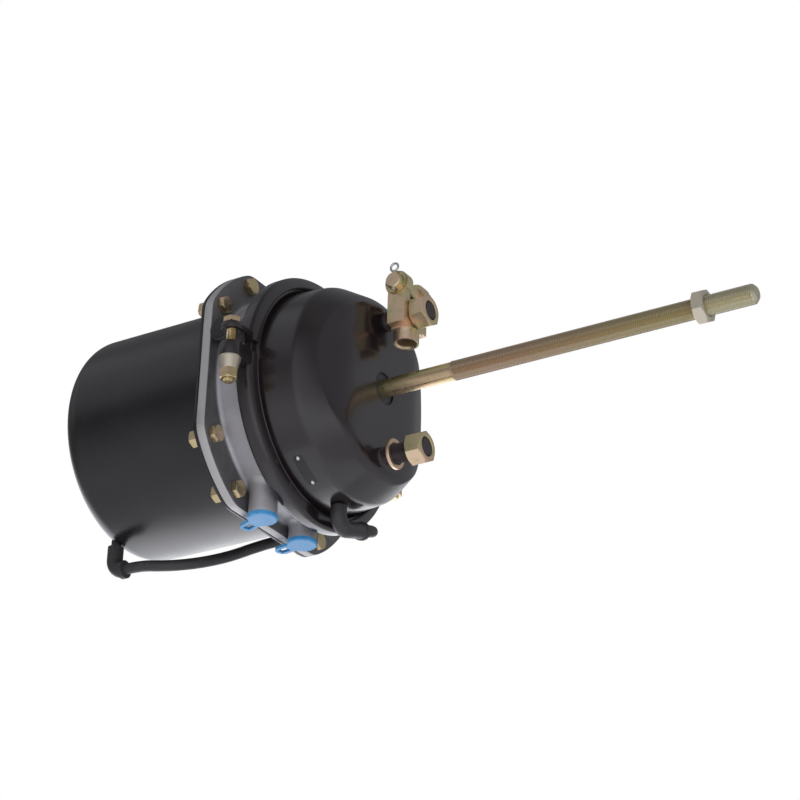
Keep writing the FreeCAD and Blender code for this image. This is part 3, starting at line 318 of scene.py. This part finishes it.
def pressed(profile, offset):
    """Turns the housing's profile, and lowers what stands above the two bevel planes with a soft
    minimum, -k ln(exp(-a / k) + exp(-b / k)), which rounds the crease. Where the crown of the
    planes is near, the soft minimum's own depth is given back."""
    grid = spun(profile, 256)
    plane = -BEVEL_FALL * (np.abs(grid[..., 1]) - BEVEL_START) - offset
    height = grid[..., 2]
    top = np.maximum(height, plane)
    low = np.minimum(height, plane)
    soft = low - CREASE * np.log1p(np.exp(-(top - low) / CREASE))
    crown = BEVEL_START * BEVEL_FALL - offset
    level = soft + CREASE * np.log1p(np.exp(-np.maximum(crown - height, 0) / CREASE))
    share = np.clip((height - BEVEL_FOOT) / BEVEL_FADE, 0, 1)
    grid[..., 2] = height + (level - height) * share
    return grid


housing = piece("service_housing_shell", [
    sheet(np.concatenate([pressed(outer, 0), pressed(inner, SLANTED_WALL)]), loop=True)])
dress(housing, enamel, "chamber", ["service_housing"])


# Spring cylinder
# A deep-drawn steel cup in a duller enamel. Its rear has a rolled corner and a recess for
# the release bolt, and its mouth has an out-turned flange with four rounded lobes.
LOBE_RADIUS = 117
FLAT = 103.3
LOBE_ROUNDING = 1.2
FLANGE_COLUMNS = 512


def lobes(turn, inset):
    """Radius of the flange's outline: a circle with four flats, its corners slightly rounded."""
    flats = FLAT / np.maximum(np.abs(np.cos(turn)), np.abs(np.sin(turn)))
    nearer = np.logaddexp(-flats / LOBE_ROUNDING, -LOBE_RADIUS / LOBE_ROUNDING)
    return -LOBE_ROUNDING * nearer - inset


def flange(rows):
    """A ring with rows of (radius, 0, height) on a circle or (inset, 1, height) on the outline."""
    turn = angles(FLANGE_COLUMNS)
    grid = []
    for value, lobed, height in rows:
        radius = lobes(turn, value) if lobed else np.full(FLANGE_COLUMNS, float(value))
        grid.append(np.stack([radius * np.cos(turn), radius * np.sin(turn),
                              np.full(FLANGE_COLUMNS, float(height))], -1))
    return sheet(np.array(grid), loop=True)


drawn = Finish("semi_gloss_black_enamel", (0.013, 0.0122, 0.0127), 0.34, coat_weight=0.15,
               coat_roughness=0.2)
drift = drawn.noise(18, 4)
drawn.set("Roughness", drawn.between(drift, 0.3, 0.75, 0.25, 0.34))
drawn.set("Base Color", drawn.mixed(drift, 0.4, 0.75, (0.0125, 0.0105, 0.0114),
                                    (0.0195, 0.0168, 0.0178)))
drawn.bumps(drawn.noise(260, 2), 0.00006, 0.5)

cup = rounded([(91, -109), (94, -109), (94, -254), (26, -254), (24, -237), (17, -237), (17, -234),
               (27, -234), (29, -251), (91, -251), (91, -109)],
              [0, 18, 2.5, 1, 0, 0, 1, 2, 15], 14)[:-1]
steel_flange = [(91, 0, -106), (0.8, 1, -106), (0, 1, -106.6), (0, 1, -108.4), (0.8, 1, -109),
                (91, 0, -109)]
cylinder = piece("spring_cylinder_shell", [sheet(spun(cup, 256), loop=True), flange(steel_flange)])
dress(cylinder, drawn, "chamber", ["spring_cylinder"])


# Intermediate housing
# An aluminium casting between the two halves. It has a round neck, a lobed flange with a
# machined rim, two bosses for the air ports and one for the spare port.
cast = Finish("cast_aluminium", (0.4, 0.4, 0.41), 0.55, 0.7)
grain = cast.noise(700, 4, 0.65)
stain = cast.noise(45, 4)
depth = cast.node("SeparateXYZ", "Z", Vector=cast.place)
bare = cast.mixed(stain, 0.3, 0.75, (0.56, 0.555, 0.585), (0.47, 0.465, 0.485))
# The flange's front face, turned away from the light, is painted a darker grey than the neck and
# rim: painted shade, over the same cloudy stains.
shaded_flange_face = cast.mixed(stain, 0.3, 0.75, (0.215, 0.211, 0.217), (0.152, 0.149, 0.152))
raised = cast.mixed(depth, -0.0974, -0.0955, shaded_flange_face, bare)
cast.set("Base Color", cast.mixed(depth, -0.0984, -0.0979, (0.52, 0.51, 0.505), raised))
cast.set("Roughness", cast.between(grain, 0.3, 0.7, 0.5, 0.62))
cast.bumps(grain + 0.5 * stain, 0.00018, 0.7)

neck = [(88, 0, -66.5), (101, 0, -66.5), (101, 0, -70), (93.8, 0, -70.2), (93.5, 0, -71),
        (93, 0, -92.5), (93.2, 0, -94.5), (94, 0, -96.2), (95.2, 0, -97.2), (97, 0, -97.5),
        (0.9, 1, -97.5), (0.3, 1, -97.75), (0, 1, -98.4), (0, 1, -105.2), (0.6, 1, -106),
        (90.5, 0, -106), (90.5, 0, -112), (80, 0, -112), (76, 0, -99), (31, 0, -99),
        (29, 0, -112), (22, 0, -112), (22, 0, -92), (19.3, 0, -92), (19.3, 0, -89.5),
        (70, 0, -89.5), (87, 0, -68.5)]
NECK_RADIUS = 93.2
FOOT_FLARE = 3.2
FLARE_FALL = 1.3
FOOT_DEPTH = -98.5
BOSS_RADIUS = 11.4
BOSS_FACE = 107
PORTS = (-36, 20)
PORT_DEPTH = -85.7
BOSS_COLUMNS = 64


def boss(across, body=BOSS_RADIUS, end=BOSS_FACE, depth=PORT_DEPTH, bored=True):
    """A port boss: a tube round +X whose foot flares by exp(-distance) where it leaves the neck.
    A bored one has a sealing recess and a threaded hole in its face."""
    turn = angles(BOSS_COLUMNS)
    rows = []
    for share in (-0.15, *np.linspace(0, 1, 16) ** 1.6):
        radius = np.full(BOSS_COLUMNS, body)
        # The neck's distance depends on the flare and the flare on the distance: three rounds do.
        for _ in range(3):
            y = across + radius * np.cos(turn)
            start = np.sqrt(NECK_RADIUS ** 2 - y ** 2)
            reach = share * (end - 0.6 - start)
            radius = body + FOOT_FLARE * np.exp(-np.maximum(reach, 0) / FLARE_FALL)
        lift = depth + radius * np.sin(turn)
        rows.append(np.stack([start + reach, y, np.maximum(lift, FOOT_DEPTH)], -1))
    hole = [(10.1, end), (9.6, end - 0.5), (9.6, end - 3), (8, end - 3), (8, 80), (0, 80)]
    for radius, x in [(body - 0.2, end - 0.2), (body - 0.6, end)] + (hole if bored else [(0, end)]):
        rows.append(np.stack([np.full(BOSS_COLUMNS, float(x)), across + radius * np.cos(turn),
                              depth + radius * np.sin(turn)], -1))
    return sheet(np.array(rows))


# The spare port's boss gets a quarter turn, so that it points along -Y.
spare, spare_quads = boss(-27, 10.5, 97, -86, False)
spare = spare[:, [1, 0, 2]] * (1, -1, 1)
housing_cast = piece("intermediate_casting",
                     [flange(neck), *map(boss, PORTS), (spare, spare_quads)])
dress(housing_cast, cast, "chamber", ["intermediate_housing"])


# Metals and plastics of the small pieces
# Yellow and bright zinc, black phosphate, blue polythene and the rest, each slightly cloudy.
RECORD = frame["record"]
BODY_OF = {node: body for body, nodes in RECORD["behaviour"]["bodies"].items() for node in nodes}
SLOT_OF = {entry["node"]: entry["material_slot"] for entry in RECORD["subparts"]}


def cloudy(finish, scale, low, high, pits=None):
    """Lets the roughness wander from low to high, with bumps of about 1 / pits metres if given."""
    finish.set("Roughness", finish.between(finish.noise(scale), 0.3, 0.7, low, high))
    if pits:
        finish.bumps(finish.noise(pits), 0.00003, 0.6)


gold = Finish("yellow_zinc", (0.58, 0.46, 0.25), 0.3, 1.0)
straw = gold.mixed(gold.noise(75), 0.38, 0.62, (0.62, 0.51, 0.27), (0.74, 0.53, 0.36))
gold.set("Base Color", gold.mixed(gold.noise(140), 0.5, 0.72, straw, (0.48, 0.48, 0.26)))
cloudy(gold, 420, 0.24, 0.38, 1300)

tan = Finish("forged_zinc", (0.7, 0.55, 0.35), 0.34, 0.9)
rose = tan.mixed(tan.noise(48), 0.4, 0.6, (0.68, 0.58, 0.34), (0.78, 0.56, 0.40))
tan.set("Base Color", tan.mixed(tan.noise(110), 0.52, 0.75, rose, (0.52, 0.50, 0.28)))
cloudy(tan, 420, 0.28, 0.42, 1300)

bright = Finish("bright_zinc", (0.66, 0.66, 0.64), 0.3, 1.0)
cloudy(bright, 400, 0.24, 0.38, 1300)
pale = Finish("pale_zinc", (0.66, 0.60, 0.48), 0.38, 0.8)
cloudy(pale, 400, 0.32, 0.46, 1300)
steel = Finish("turned_steel", (0.42, 0.42, 0.43), 0.35, 1.0)
cloudy(steel, 300, 0.28, 0.42, 900)
spring_steel = Finish("dark_spring_steel", (0.06, 0.06, 0.065), 0.45, 0.6)
cloudy(spring_steel, 260, 0.36, 0.56)
acetal = Finish("white_acetal", (0.7, 0.69, 0.63), 0.45)
cloudy(acetal, 500, 0.4, 0.5)
black_plastic = Finish("black_plastic", (0.012, 0.012, 0.012), 0.3)
cloudy(black_plastic, 300, 0.24, 0.36)
phosphate = Finish("black_phosphate", (0.055, 0.042, 0.044), 0.42, 0.35)
cloudy(phosphate, 500, 0.34, 0.5, 1100)
plate_black = Finish("dark_plate", (0.03, 0.028, 0.029), 0.4, 0.3)
cloudy(plate_black, 300, 0.28, 0.42)

blue = Finish("blue_polythene", (0.045, 0.22, 0.62), 0.38)
cloud = blue.noise(160)
blue.set("Base Color", blue.mixed(cloud, 0.35, 0.7, (0.055, 0.30, 0.64), (0.10, 0.40, 0.74)))
blue.set("Roughness", blue.between(cloud, 0.3, 0.7, 0.3, 0.45))
blue.bumps(blue.noise(600), 0.00006, 0.5)

# The rod's drawn shank is streaked along its length: noise on a place whose height counts for
# little. Its thread goes from rose to olive, and is paler beyond the lock nut.
rod_zinc = Finish("rod_zinc", (0.5, 0.44, 0.25), 0.34, 0.95)
rod_height = rod_zinc.node("SeparateXYZ", "Z", Vector=rod_zinc.place)
long_place = rod_zinc.node("VectorMath", 0, {"operation": "MULTIPLY"}, _0=rod_zinc.place,
                           _1=(1, 1, 0.06))
streak = rod_zinc.noise(160, place=long_place)
shank = rod_zinc.mixed(streak, 0.4, 0.6, (0.50, 0.48, 0.22), (0.68, 0.50, 0.31))
thread = rod_zinc.mixed(rod_height, 0.10, 0.26, (0.54, 0.41, 0.29), (0.54, 0.47, 0.29))
thread = rod_zinc.mixed(rod_height, 0.27, 0.29, thread, (0.655, 0.61, 0.44))
rod_zinc.set("Base Color", rod_zinc.mixed(rod_height, 0.0635, 0.0655, shank, thread))
cloudy(rod_zinc, 420, 0.26, 0.4, 1300)

FINISHES = {
    "black_paint": enamel, "clamp_paint": enamel, "cast_aluminium": cast, "zinc_yellow": gold,
    "zinc_bright": bright, "rod_steel": tan, "plain_steel": steel, "spring_steel": spring_steel,
    "rubber": rubber, "bush_plastic": acetal, "blue_plastic": blue, "black_plastic": black_plastic,
    "dark_steel": phosphate,
}


# Bolts, nuts, studs and washers
# Hexagons have turned chamfers on their faces, and the threads that show are cut as helices.
ROUND = 96
THREAD_ROWS = 5
THREAD_DEPTH = 0.6


def grid_of(rows, columns=ROUND):
    """Turns rows of (radius, height) about the Z axis; a radius may differ round the turn."""
    turn = angles(columns)
    return np.array([np.stack([radius * np.cos(turn), radius * np.sin(turn),
                               np.zeros(columns) + height], -1) for radius, height in rows])


def hexed(flats, low, high, bore=0):
    """Rows of a hexagon between two heights, chamfered by a cone at both faces."""
    corner = flats / 2 / np.cos(angles(ROUND) % (math.pi / 3) - math.pi / 6)
    face = 0.47 * flats
    slope = 0.62
    rise = np.linspace(0, (flats / math.sqrt(3) - face) * slope, 6)
    if bore:
        start = [(bore, low + 0.6), (bore + 0.6, low)]
        end = [(bore + 0.6, high), (bore, high - 0.6)]
    else:
        start = [(0, low), (face - 0.4, low)]
        end = [(face - 0.4, high), (0, high)]
    lower = [(np.minimum(corner, face + step / slope), low + step) for step in rise]
    upper = [(np.minimum(corner, face + step / slope), high - step) for step in rise[::-1]]
    return start + lower + upper + end


def threaded(radius, pitch, low, high, end=1.5, columns=ROUND):
    """Rows of a thread that runs up to a chamfered end. Its crests and roots are flattened."""
    turn = angles(columns) / (2 * math.pi)
    rows = []
    for height in np.arange(low, high, pitch / THREAD_ROWS):
        wave = np.abs(((height / pitch - turn) % 1) * 2 - 1)
        depth = THREAD_DEPTH * pitch * np.clip(1.25 * wave - 0.12, 0, 1)
        fade = min(1.0, (height - low) / pitch)
        rows.append((np.minimum(radius - depth * fade, radius - end + high - height), height))
    return rows + [(radius - end, high), (0, high)]


def along_x(grid):
    """Turns a grid from the Z axis to the X axis."""
    return grid[..., [2, 1, 0]] * (1, 1, -1)


def copies(grid, places, loop=False):
    """One sheet of a grid at each place."""
    return [sheet(grid + place, loop) for place in places]


def fastener(node, finish, parts, sharp=28):
    """Makes one piece from closed sheets and lets it stand for its node."""
    made = piece(node + "_finished", parts, sharp)
    return dress(made, finish, BODY_OF[node], [node])


STUD_X = 60.325
STUD_PLACES = [(side * STUD_X, 0, 0) for side in SIDES]
WASHER_PLACES = [(-STUD_X, 0, 8), (STUD_X, 0, 10.5)]
stud_rows = [(0, -7.5), (9.5, -7.5), (9.5, -3.5), (8, -3.5), (8, 1.5)] + threaded(8, 1.5, 2, 41.5)
fastener("mounting_studs", phosphate, copies(grid_of(stud_rows), STUD_PLACES))
fastener("stud_nuts", tan, copies(grid_of(hexed(24, 27, 41.5, 8)), STUD_PLACES, True))
washer = rounded([(9, 0), (9, 2.8), (12.4, 2.8), (12.4, 0), (9, 0)], [0.4, 0.6, 0.4])[:-1]
fastener("stud_washers", tan, copies(spun(washer, ROUND), WASHER_PLACES, True))
fastener("rod_lock_nut", pale, [sheet(grid_of(hexed(24, 273, 283, 8.05)), True)])
release_rows = hexed(24, -249.8, -239.8)[:-1] + [(8, -239.8), (8, -141), (6.5, -139.5), (0, -139.5)]
fastener("release_bolt", gold, [sheet(grid_of(release_rows))])

CLAMP_OUT = 120
CLAMP_HEIGHT = -64.75
CLAMP_PLACES = [(0, side * CLAMP_OUT, CLAMP_HEIGHT) for side in SIDES]
clamp_rows = hexed(13, -22.7, -17.4)[:-1] + [(4, -17.4)] + threaded(4, 1.25, -17.3, 33, 0.8)
fastener("clamp_bolts", gold, copies(along_x(grid_of(clamp_rows)), CLAMP_PLACES))
clamp_nut = along_x(grid_of(hexed(13, 22.5, 30.5, 4.05)))
fastener("clamp_nuts", gold, copies(clamp_nut, CLAMP_PLACES, True))
collar = rounded([(4.1, 11.5), (8.6, 11.5), (8.6, 13), (6.5, 22.5), (4.1, 22.5), (4.1, 11.5)],
                 [0.5, 0.8, 0.5, 0])[:-1]
fastener("clamp_collars", pale, copies(along_x(spun(collar, ROUND)), CLAMP_PLACES, True))

BOLT_CIRCLE = 107
BOLT_SPREAD = 12.8
BOLT_TURNS = [math.radians(lobe + side * BOLT_SPREAD)
              for lobe in (45, 135, 225, 315) for side in SIDES]
BOLT_PLACES = [(BOLT_CIRCLE * math.cos(turn), BOLT_CIRCLE * math.sin(turn), 0)
               for turn in BOLT_TURNS]
bolt_shank = [(4, -97.5), (4, -116.8), (3.2, -117), (4, -117.3), (4, -118.8), (3.3, -119.5),
              (0, -119.5)]
flange_bolt = grid_of(hexed(13, -97.5, -92.2)[:0:-1] + bolt_shank)
fastener("flange_bolts", gold, copies(flange_bolt, BOLT_PLACES))
flange_nut = grid_of(hexed(13, -117, -109, 4.05))
fastener("flange_nuts", gold, copies(flange_nut, BOLT_PLACES, True))

ROD_COLUMNS = 48
rod_rows = [(0, -23), (13, -23), (13, -21), (7.4, -19), (7.4, 63.9)]
rod_rows += threaded(8, 1.5, 64.5, 322, 3, ROD_COLUMNS)
fastener("push_rod", rod_zinc, [sheet(grid_of(rod_rows, ROD_COLUMNS))])


# Clamp ring
# Two half rings of pressed steel with rounded ears, in thick black enamel. A bolt, a collar and
# a nut draw them together on each side.
RING_COLUMNS = 180
RING = rounded([(98, -59.2), (95.4, -59.2), (95.4, -55.5), (105.5, -58.15), (105.5, -71.35),
                (95.4, -74), (95.4, -70.3), (101.3, -70.3), (101.3, -59.2), (98, -59.2)],
               [1.2, 1.6, 4.5, 4.5, 1.6, 1.2, 1, 1], 7)[:-1]
EAR_RADIUS = 8.5
EAR_HOLE = 4.5
EAR_ROOT = 14


def band(start, end):
    """Sweeps the clamp ring's rounded section round part of a turn and closes both ends."""
    turn = np.linspace(start, end, RING_COLUMNS)[:, None]
    radius, height = RING.T
    grid = np.stack([radius * np.cos(turn), radius * np.sin(turn),
                     np.repeat(height[None], RING_COLUMNS, 0)], -1)
    out, up = RING.mean(0)
    near, far = [np.broadcast_to((out * math.cos(angle), out * math.sin(angle), up), grid[:1].shape)
                 for angle in (start, end)]
    return sheet(np.concatenate([near, grid, far]))


def ear(low, high, side):
    """A rounded slab across the X axis, from the ring out to a half-round end, with its bolt hole.
    Its rows run from the hole over one broken edge and the other back to the hole."""
    turn = angles(ROUND)
    wide = np.array([EAR_RADIUS * np.cos(turn), EAR_RADIUS * np.sin(turn)])
    wide[0] -= EAR_ROOT * np.clip(-wide[0] / EAR_RADIUS * 3, 0, 1)
    hole = np.array([EAR_HOLE * np.cos(turn), EAR_HOLE * np.sin(turn)])
    rows = []
    for shrink, x in ((None, low + 0.5), (1, low), (0.25, low + 0.3), (0, low + 1),
                      (0, high - 1), (0.25, high - 0.3), (1, high), (None, high - 0.5)):
        across, lift = hole if shrink is None else wide * (1 - shrink / EAR_RADIUS)
        rows.append(np.stack([np.full(ROUND, float(x)), side * (CLAMP_OUT + across),
                              CLAMP_HEIGHT + lift], -1))
    return sheet(np.array(rows), loop=True)


UPPER_END = math.asin(11.4 / 103)
LOWER_END = math.asin(0.5 / 103)
upper_ears = [ear(-17.4, -11.4, side) for side in SIDES]
fastener("clamp_band_upper", enamel,
         [band(math.pi / 2 + UPPER_END, math.pi * 1.5 - UPPER_END)] + upper_ears, 40)
lower_ears = [ear(-0.5, 11.5, side) for side in SIDES]
fastener("clamp_band_lower", enamel,
         [band(-math.pi / 2 - LOWER_END, math.pi / 2 + LOWER_END)] + lower_ears, 40)


# Plate on the service housing
# A bare dark plate that follows the wall, held by two bright rivets.
PLATE_TURN = -0.486
PLATE_SPREAD = 0.16
PLATE_HEIGHT = -43.4
RIVET_SHARE = 0.85
RIVET_FOOT = 90.8
share = np.linspace(-1, 1, 65)[:, None]
# Half the plate's width is 4.5 (1 - |s|^6)^(1/6) at share s of its length, so its sides are
# straight and its ends round.
half_width = 4.5 * np.maximum(1 - np.abs(share) ** 6, 0) ** (1 / 6)
edge = np.array([1, 1, 1, -1, -1, -1])
inset = np.array([0, 0, 0.25, 0.25, 0, 0])
proud = np.array([-0.6, 0.35, 0.6, 0.6, 0.35, -0.6])
lift = PLATE_HEIGHT + edge * np.maximum(half_width - inset, 0)
# The wall leans: its radius is 90.35 at -44 and grows by 0.06 for each millimetre below.
skin = 90.35 + (-44 - lift) * 0.06 + proud
turn = PLATE_TURN + share * PLATE_SPREAD
plate = piece("name_plate", [sheet(np.stack([skin * np.cos(turn), skin * np.sin(turn), lift], -1))])
dress(plate, plate_black, "chamber", ())

dome = grid_of([(0, 0), (1.9, 0), (1.9, 0.3), (1.5, 0.9), (0.8, 1.25), (0, 1.35)], 32)
rivets = []
for side in SIDES:
    turn = PLATE_TURN + side * PLATE_SPREAD * RIVET_SHARE
    outward = np.array([math.cos(turn), math.sin(turn), 0])
    sideways = np.array([-math.sin(turn), math.cos(turn), 0])
    axes = np.array([sideways, (0, 0, 1), outward])
    rivets.append(sheet(dome @ axes + outward * RIVET_FOOT + (0, 0, PLATE_HEIGHT)))
dress(piece("plate_rivets", rivets), bright, "chamber", ())


# Diaphragm and springs
# A moulded rubber diaphragm, the conical spring that draws the rod back and the power spring
# behind the piston. They lie inside.
def filled(profile, step=2.5):
    """Adds points along a profile, so that none lie further apart than the step."""
    out = [profile[:1]]
    for start, end in zip(profile, profile[1:]):
        count = max(1, math.ceil(np.linalg.norm(end - start) / step))
        out.append(start + (end - start) * np.arange(1, count + 1)[:, None] / count)
    return np.concatenate(out)


WIRE_COLUMNS = 16
TURN_STEPS = 40


def wound(wire, foot, top, low, high, turns):
    """Sweeps a round wire along a helix whose radius and height run evenly from foot and low to top
    and high, and closes both ends."""
    share = np.linspace(0, 1, int(turns * TURN_STEPS) + 1)[:, None]
    bend = 2 * math.pi * turns * share
    radius = foot + (top - foot) * share
    none = 0 * bend
    outward = np.stack([np.cos(bend), np.sin(bend), none], -1)
    middle = radius[..., None] * outward + np.stack([none, none, low + (high - low) * share], -1)
    section = angles(WIRE_COLUMNS)[None, :, None]
    ring = middle + wire / 2 * (np.cos(section) * outward + np.sin(section) * np.array([0, 0, 1]))
    near, far = (np.repeat(end, WIRE_COLUMNS, 1) for end in (middle[:1], middle[-1:]))
    return sheet(np.concatenate([near, ring, far]))


membrane = filled(rounded([(0, -28), (64, -28), (85.5, -63), (100.7, -63), (100.7, -66.5),
                           (82.5, -66.5), (62.5, -31), (0, -31)], [4, 4, 0.8, 0.8, 3, 3], 8))
diaphragm = piece("service_diaphragm_moulded", [sheet(spun(membrane, 128))])
dress(diaphragm, rubber, None, ["service_diaphragm"])
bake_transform(diaphragm)
draw_back = piece("return_spring_wound", [wound(4, 50, 31, -20.7, -5.8, 3)])
dress(draw_back, spring_steel, None, ["return_spring"])
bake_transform(draw_back)
power = piece("power_spring_wound", [wound(15, 62, 62, -243.2, -129.8, 4.5)])
dress(power, spring_steel, "chamber", ["power_spring"])
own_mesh(power)


# Pieces whose solids have the right form
# Each keeps its shape. Some have their edges broken by a small bevel, as tumbling and pressing
# leave them, and the rest are only painted.
def softened(node, width):
    """Copies a node's mesh, merges it, joins its flat faces and bevels its edges."""
    made = added(node + "_finished", frame["nodes"][node].data.copy())
    work = bmesh.new()
    work.from_mesh(made.data)
    bmesh.ops.remove_doubles(work, verts=work.verts, dist=1e-6)
    bmesh.ops.dissolve_limit(work, angle_limit=math.radians(0.6), verts=work.verts,
                             edges=work.edges)
    work.to_mesh(made.data)
    work.free()
    made.data.shade_smooth()
    made.data.set_sharp_from_angle(angle=math.radians(30))
    bevel = made.modifiers.new("edges", "BEVEL")
    bevel.width = width * MM
    bevel.segments = 2
    bevel.limit_method = "ANGLE"
    bevel.angle_limit = math.radians(30)
    bevel.harden_normals = True
    return made


SOFTENED = {"clevis": 1.1, "clevis_pin": 0.5, "service_port_plug": 0.35, "spring_port_plug": 0.35,
            "front_vent_elbow": 0.8, "rear_vent_elbow": 0.8, "blank_port_cap": 0.3}
for node, width in SOFTENED.items():
    finish = tan if node in ("clevis", "clevis_pin") else FINISHES[SLOT_OF[node]]
    dress(softened(node, width), finish, BODY_OF[node], [node])
for node, solid in frame["nodes"].items():
    if node not in STOOD_FOR:
        dress(solid, FINISHES[SLOT_OF[node]])


# Floor, backdrop and light
# The part stands on its rear face on a white floor, in a white room with soft lamps.
def shown(tree, common, seen, output):
    """Feeds one shader to the camera's rays and another to all other rays."""
    rays = tree.nodes.new("ShaderNodeLightPath")
    mix = tree.nodes.new("ShaderNodeMixShader")
    tree.links.new(rays.outputs["Is Camera Ray"], mix.inputs[0])
    tree.links.new(common.outputs[0], mix.inputs[1])
    tree.links.new(seen.outputs[0], mix.inputs[2])
    tree.links.new(mix.outputs[0], tree.nodes[output].inputs[0])


FLOOR_HEIGHT = -0.2545
floor_mesh = bpy.data.meshes.new("floor")
floor_mesh.from_pydata([(x, y, FLOOR_HEIGHT) for x, y in ((-6, -6), (6, -6), (6, 6), (-6, 6))], [],
                       [(0, 1, 2, 3)])
floor = added("floor", floor_mesh)
paper = bpy.data.materials.new("white_paper")
paper.use_nodes = True
matte = paper.node_tree.nodes["Principled BSDF"]
matte.inputs["Base Color"].default_value = (0.8, 0.8, 0.8, 1)
matte.inputs["Roughness"].default_value = 0.9
glow = paper.node_tree.nodes.new("ShaderNodeEmission")
shown(paper.node_tree, matte, glow, "Material Output")
floor_mesh.materials.append(paper)
floor.visible_glossy = False

world = bpy.data.worlds.new("room")
scene.world = world
world.use_nodes = True
nodes, links = world.node_tree.nodes, world.node_tree.links
room = nodes["Background"]
room.inputs["Color"].default_value = (0.94, 0.95, 1.0, 1)
white = nodes.new("ShaderNodeBackground")
white.inputs["Color"].default_value = (1, 1, 1, 1)
shown(world.node_tree, room, white, "World Output")
# The room is dim, bright in five directions and darkest in one, which the cylinder shows as a
# streak; each row is a direction, the range of its cosine and the light between them.
DIM = 0.18
GLOWS = [((0.199, 0.674, -0.711), 0.72, 0.94, 1.6), ((1, 0, 0), -0.1, 0.65, 0.46),
         ((0.2, -0.9, 0.39), 0.45, 0.97, 0.5), ((-0.67, -0.49, -0.56), 0.8, 0.96, 0.3),
         ((-0.45, 0.5, 0.74), 0.4, 0.9, 0.2), ((-0.269, -0.777, -0.568), 0.976, 0.996, -0.17)]
heading = nodes.new("ShaderNodeTexCoord").outputs["Generated"]
total = None
for direction, start, stop, light in GLOWS:
    dot = nodes.new("ShaderNodeVectorMath")
    dot.operation = "DOT_PRODUCT"
    dot.inputs[1].default_value = direction
    ramp = nodes.new("ShaderNodeMapRange")
    ramp.interpolation_type = "SMOOTHSTEP"
    for name, value in (("From Min", start), ("From Max", stop), ("To Min", 0), ("To Max", light)):
        ramp.inputs[name].default_value = value
    add = nodes.new("ShaderNodeMath")
    add.inputs[1].default_value = DIM
    links.new(heading, dot.inputs[0])
    links.new(dot.outputs["Value"], ramp.inputs["Value"])
    links.new(ramp.outputs["Result"], add.inputs[0])
    if total:
        links.new(total, add.inputs[1])
    total = add.outputs[0]
links.new(total, room.inputs["Strength"])

AIM = Vector((0, 0, -0.1))


def lamp(name, spot, width, power, color=(1, 1, 1)):
    """A square area lamp that faces the part."""
    data = bpy.data.lights.new(name, "AREA")
    data.size = width
    data.energy = power
    data.color = color
    made = added(name, data)
    made.location = spot
    made.rotation_euler = (AIM - Vector(spot)).to_track_quat("-Z", "Y").to_euler()
    return made


lamp("front_lamp", (0.5, -2.3, 0.9), 3.4, 14).visible_glossy = False
lamp("port_lamp", (2.0, 0.2, -0.3), 2.2, 5, (0.9, 0.93, 1))
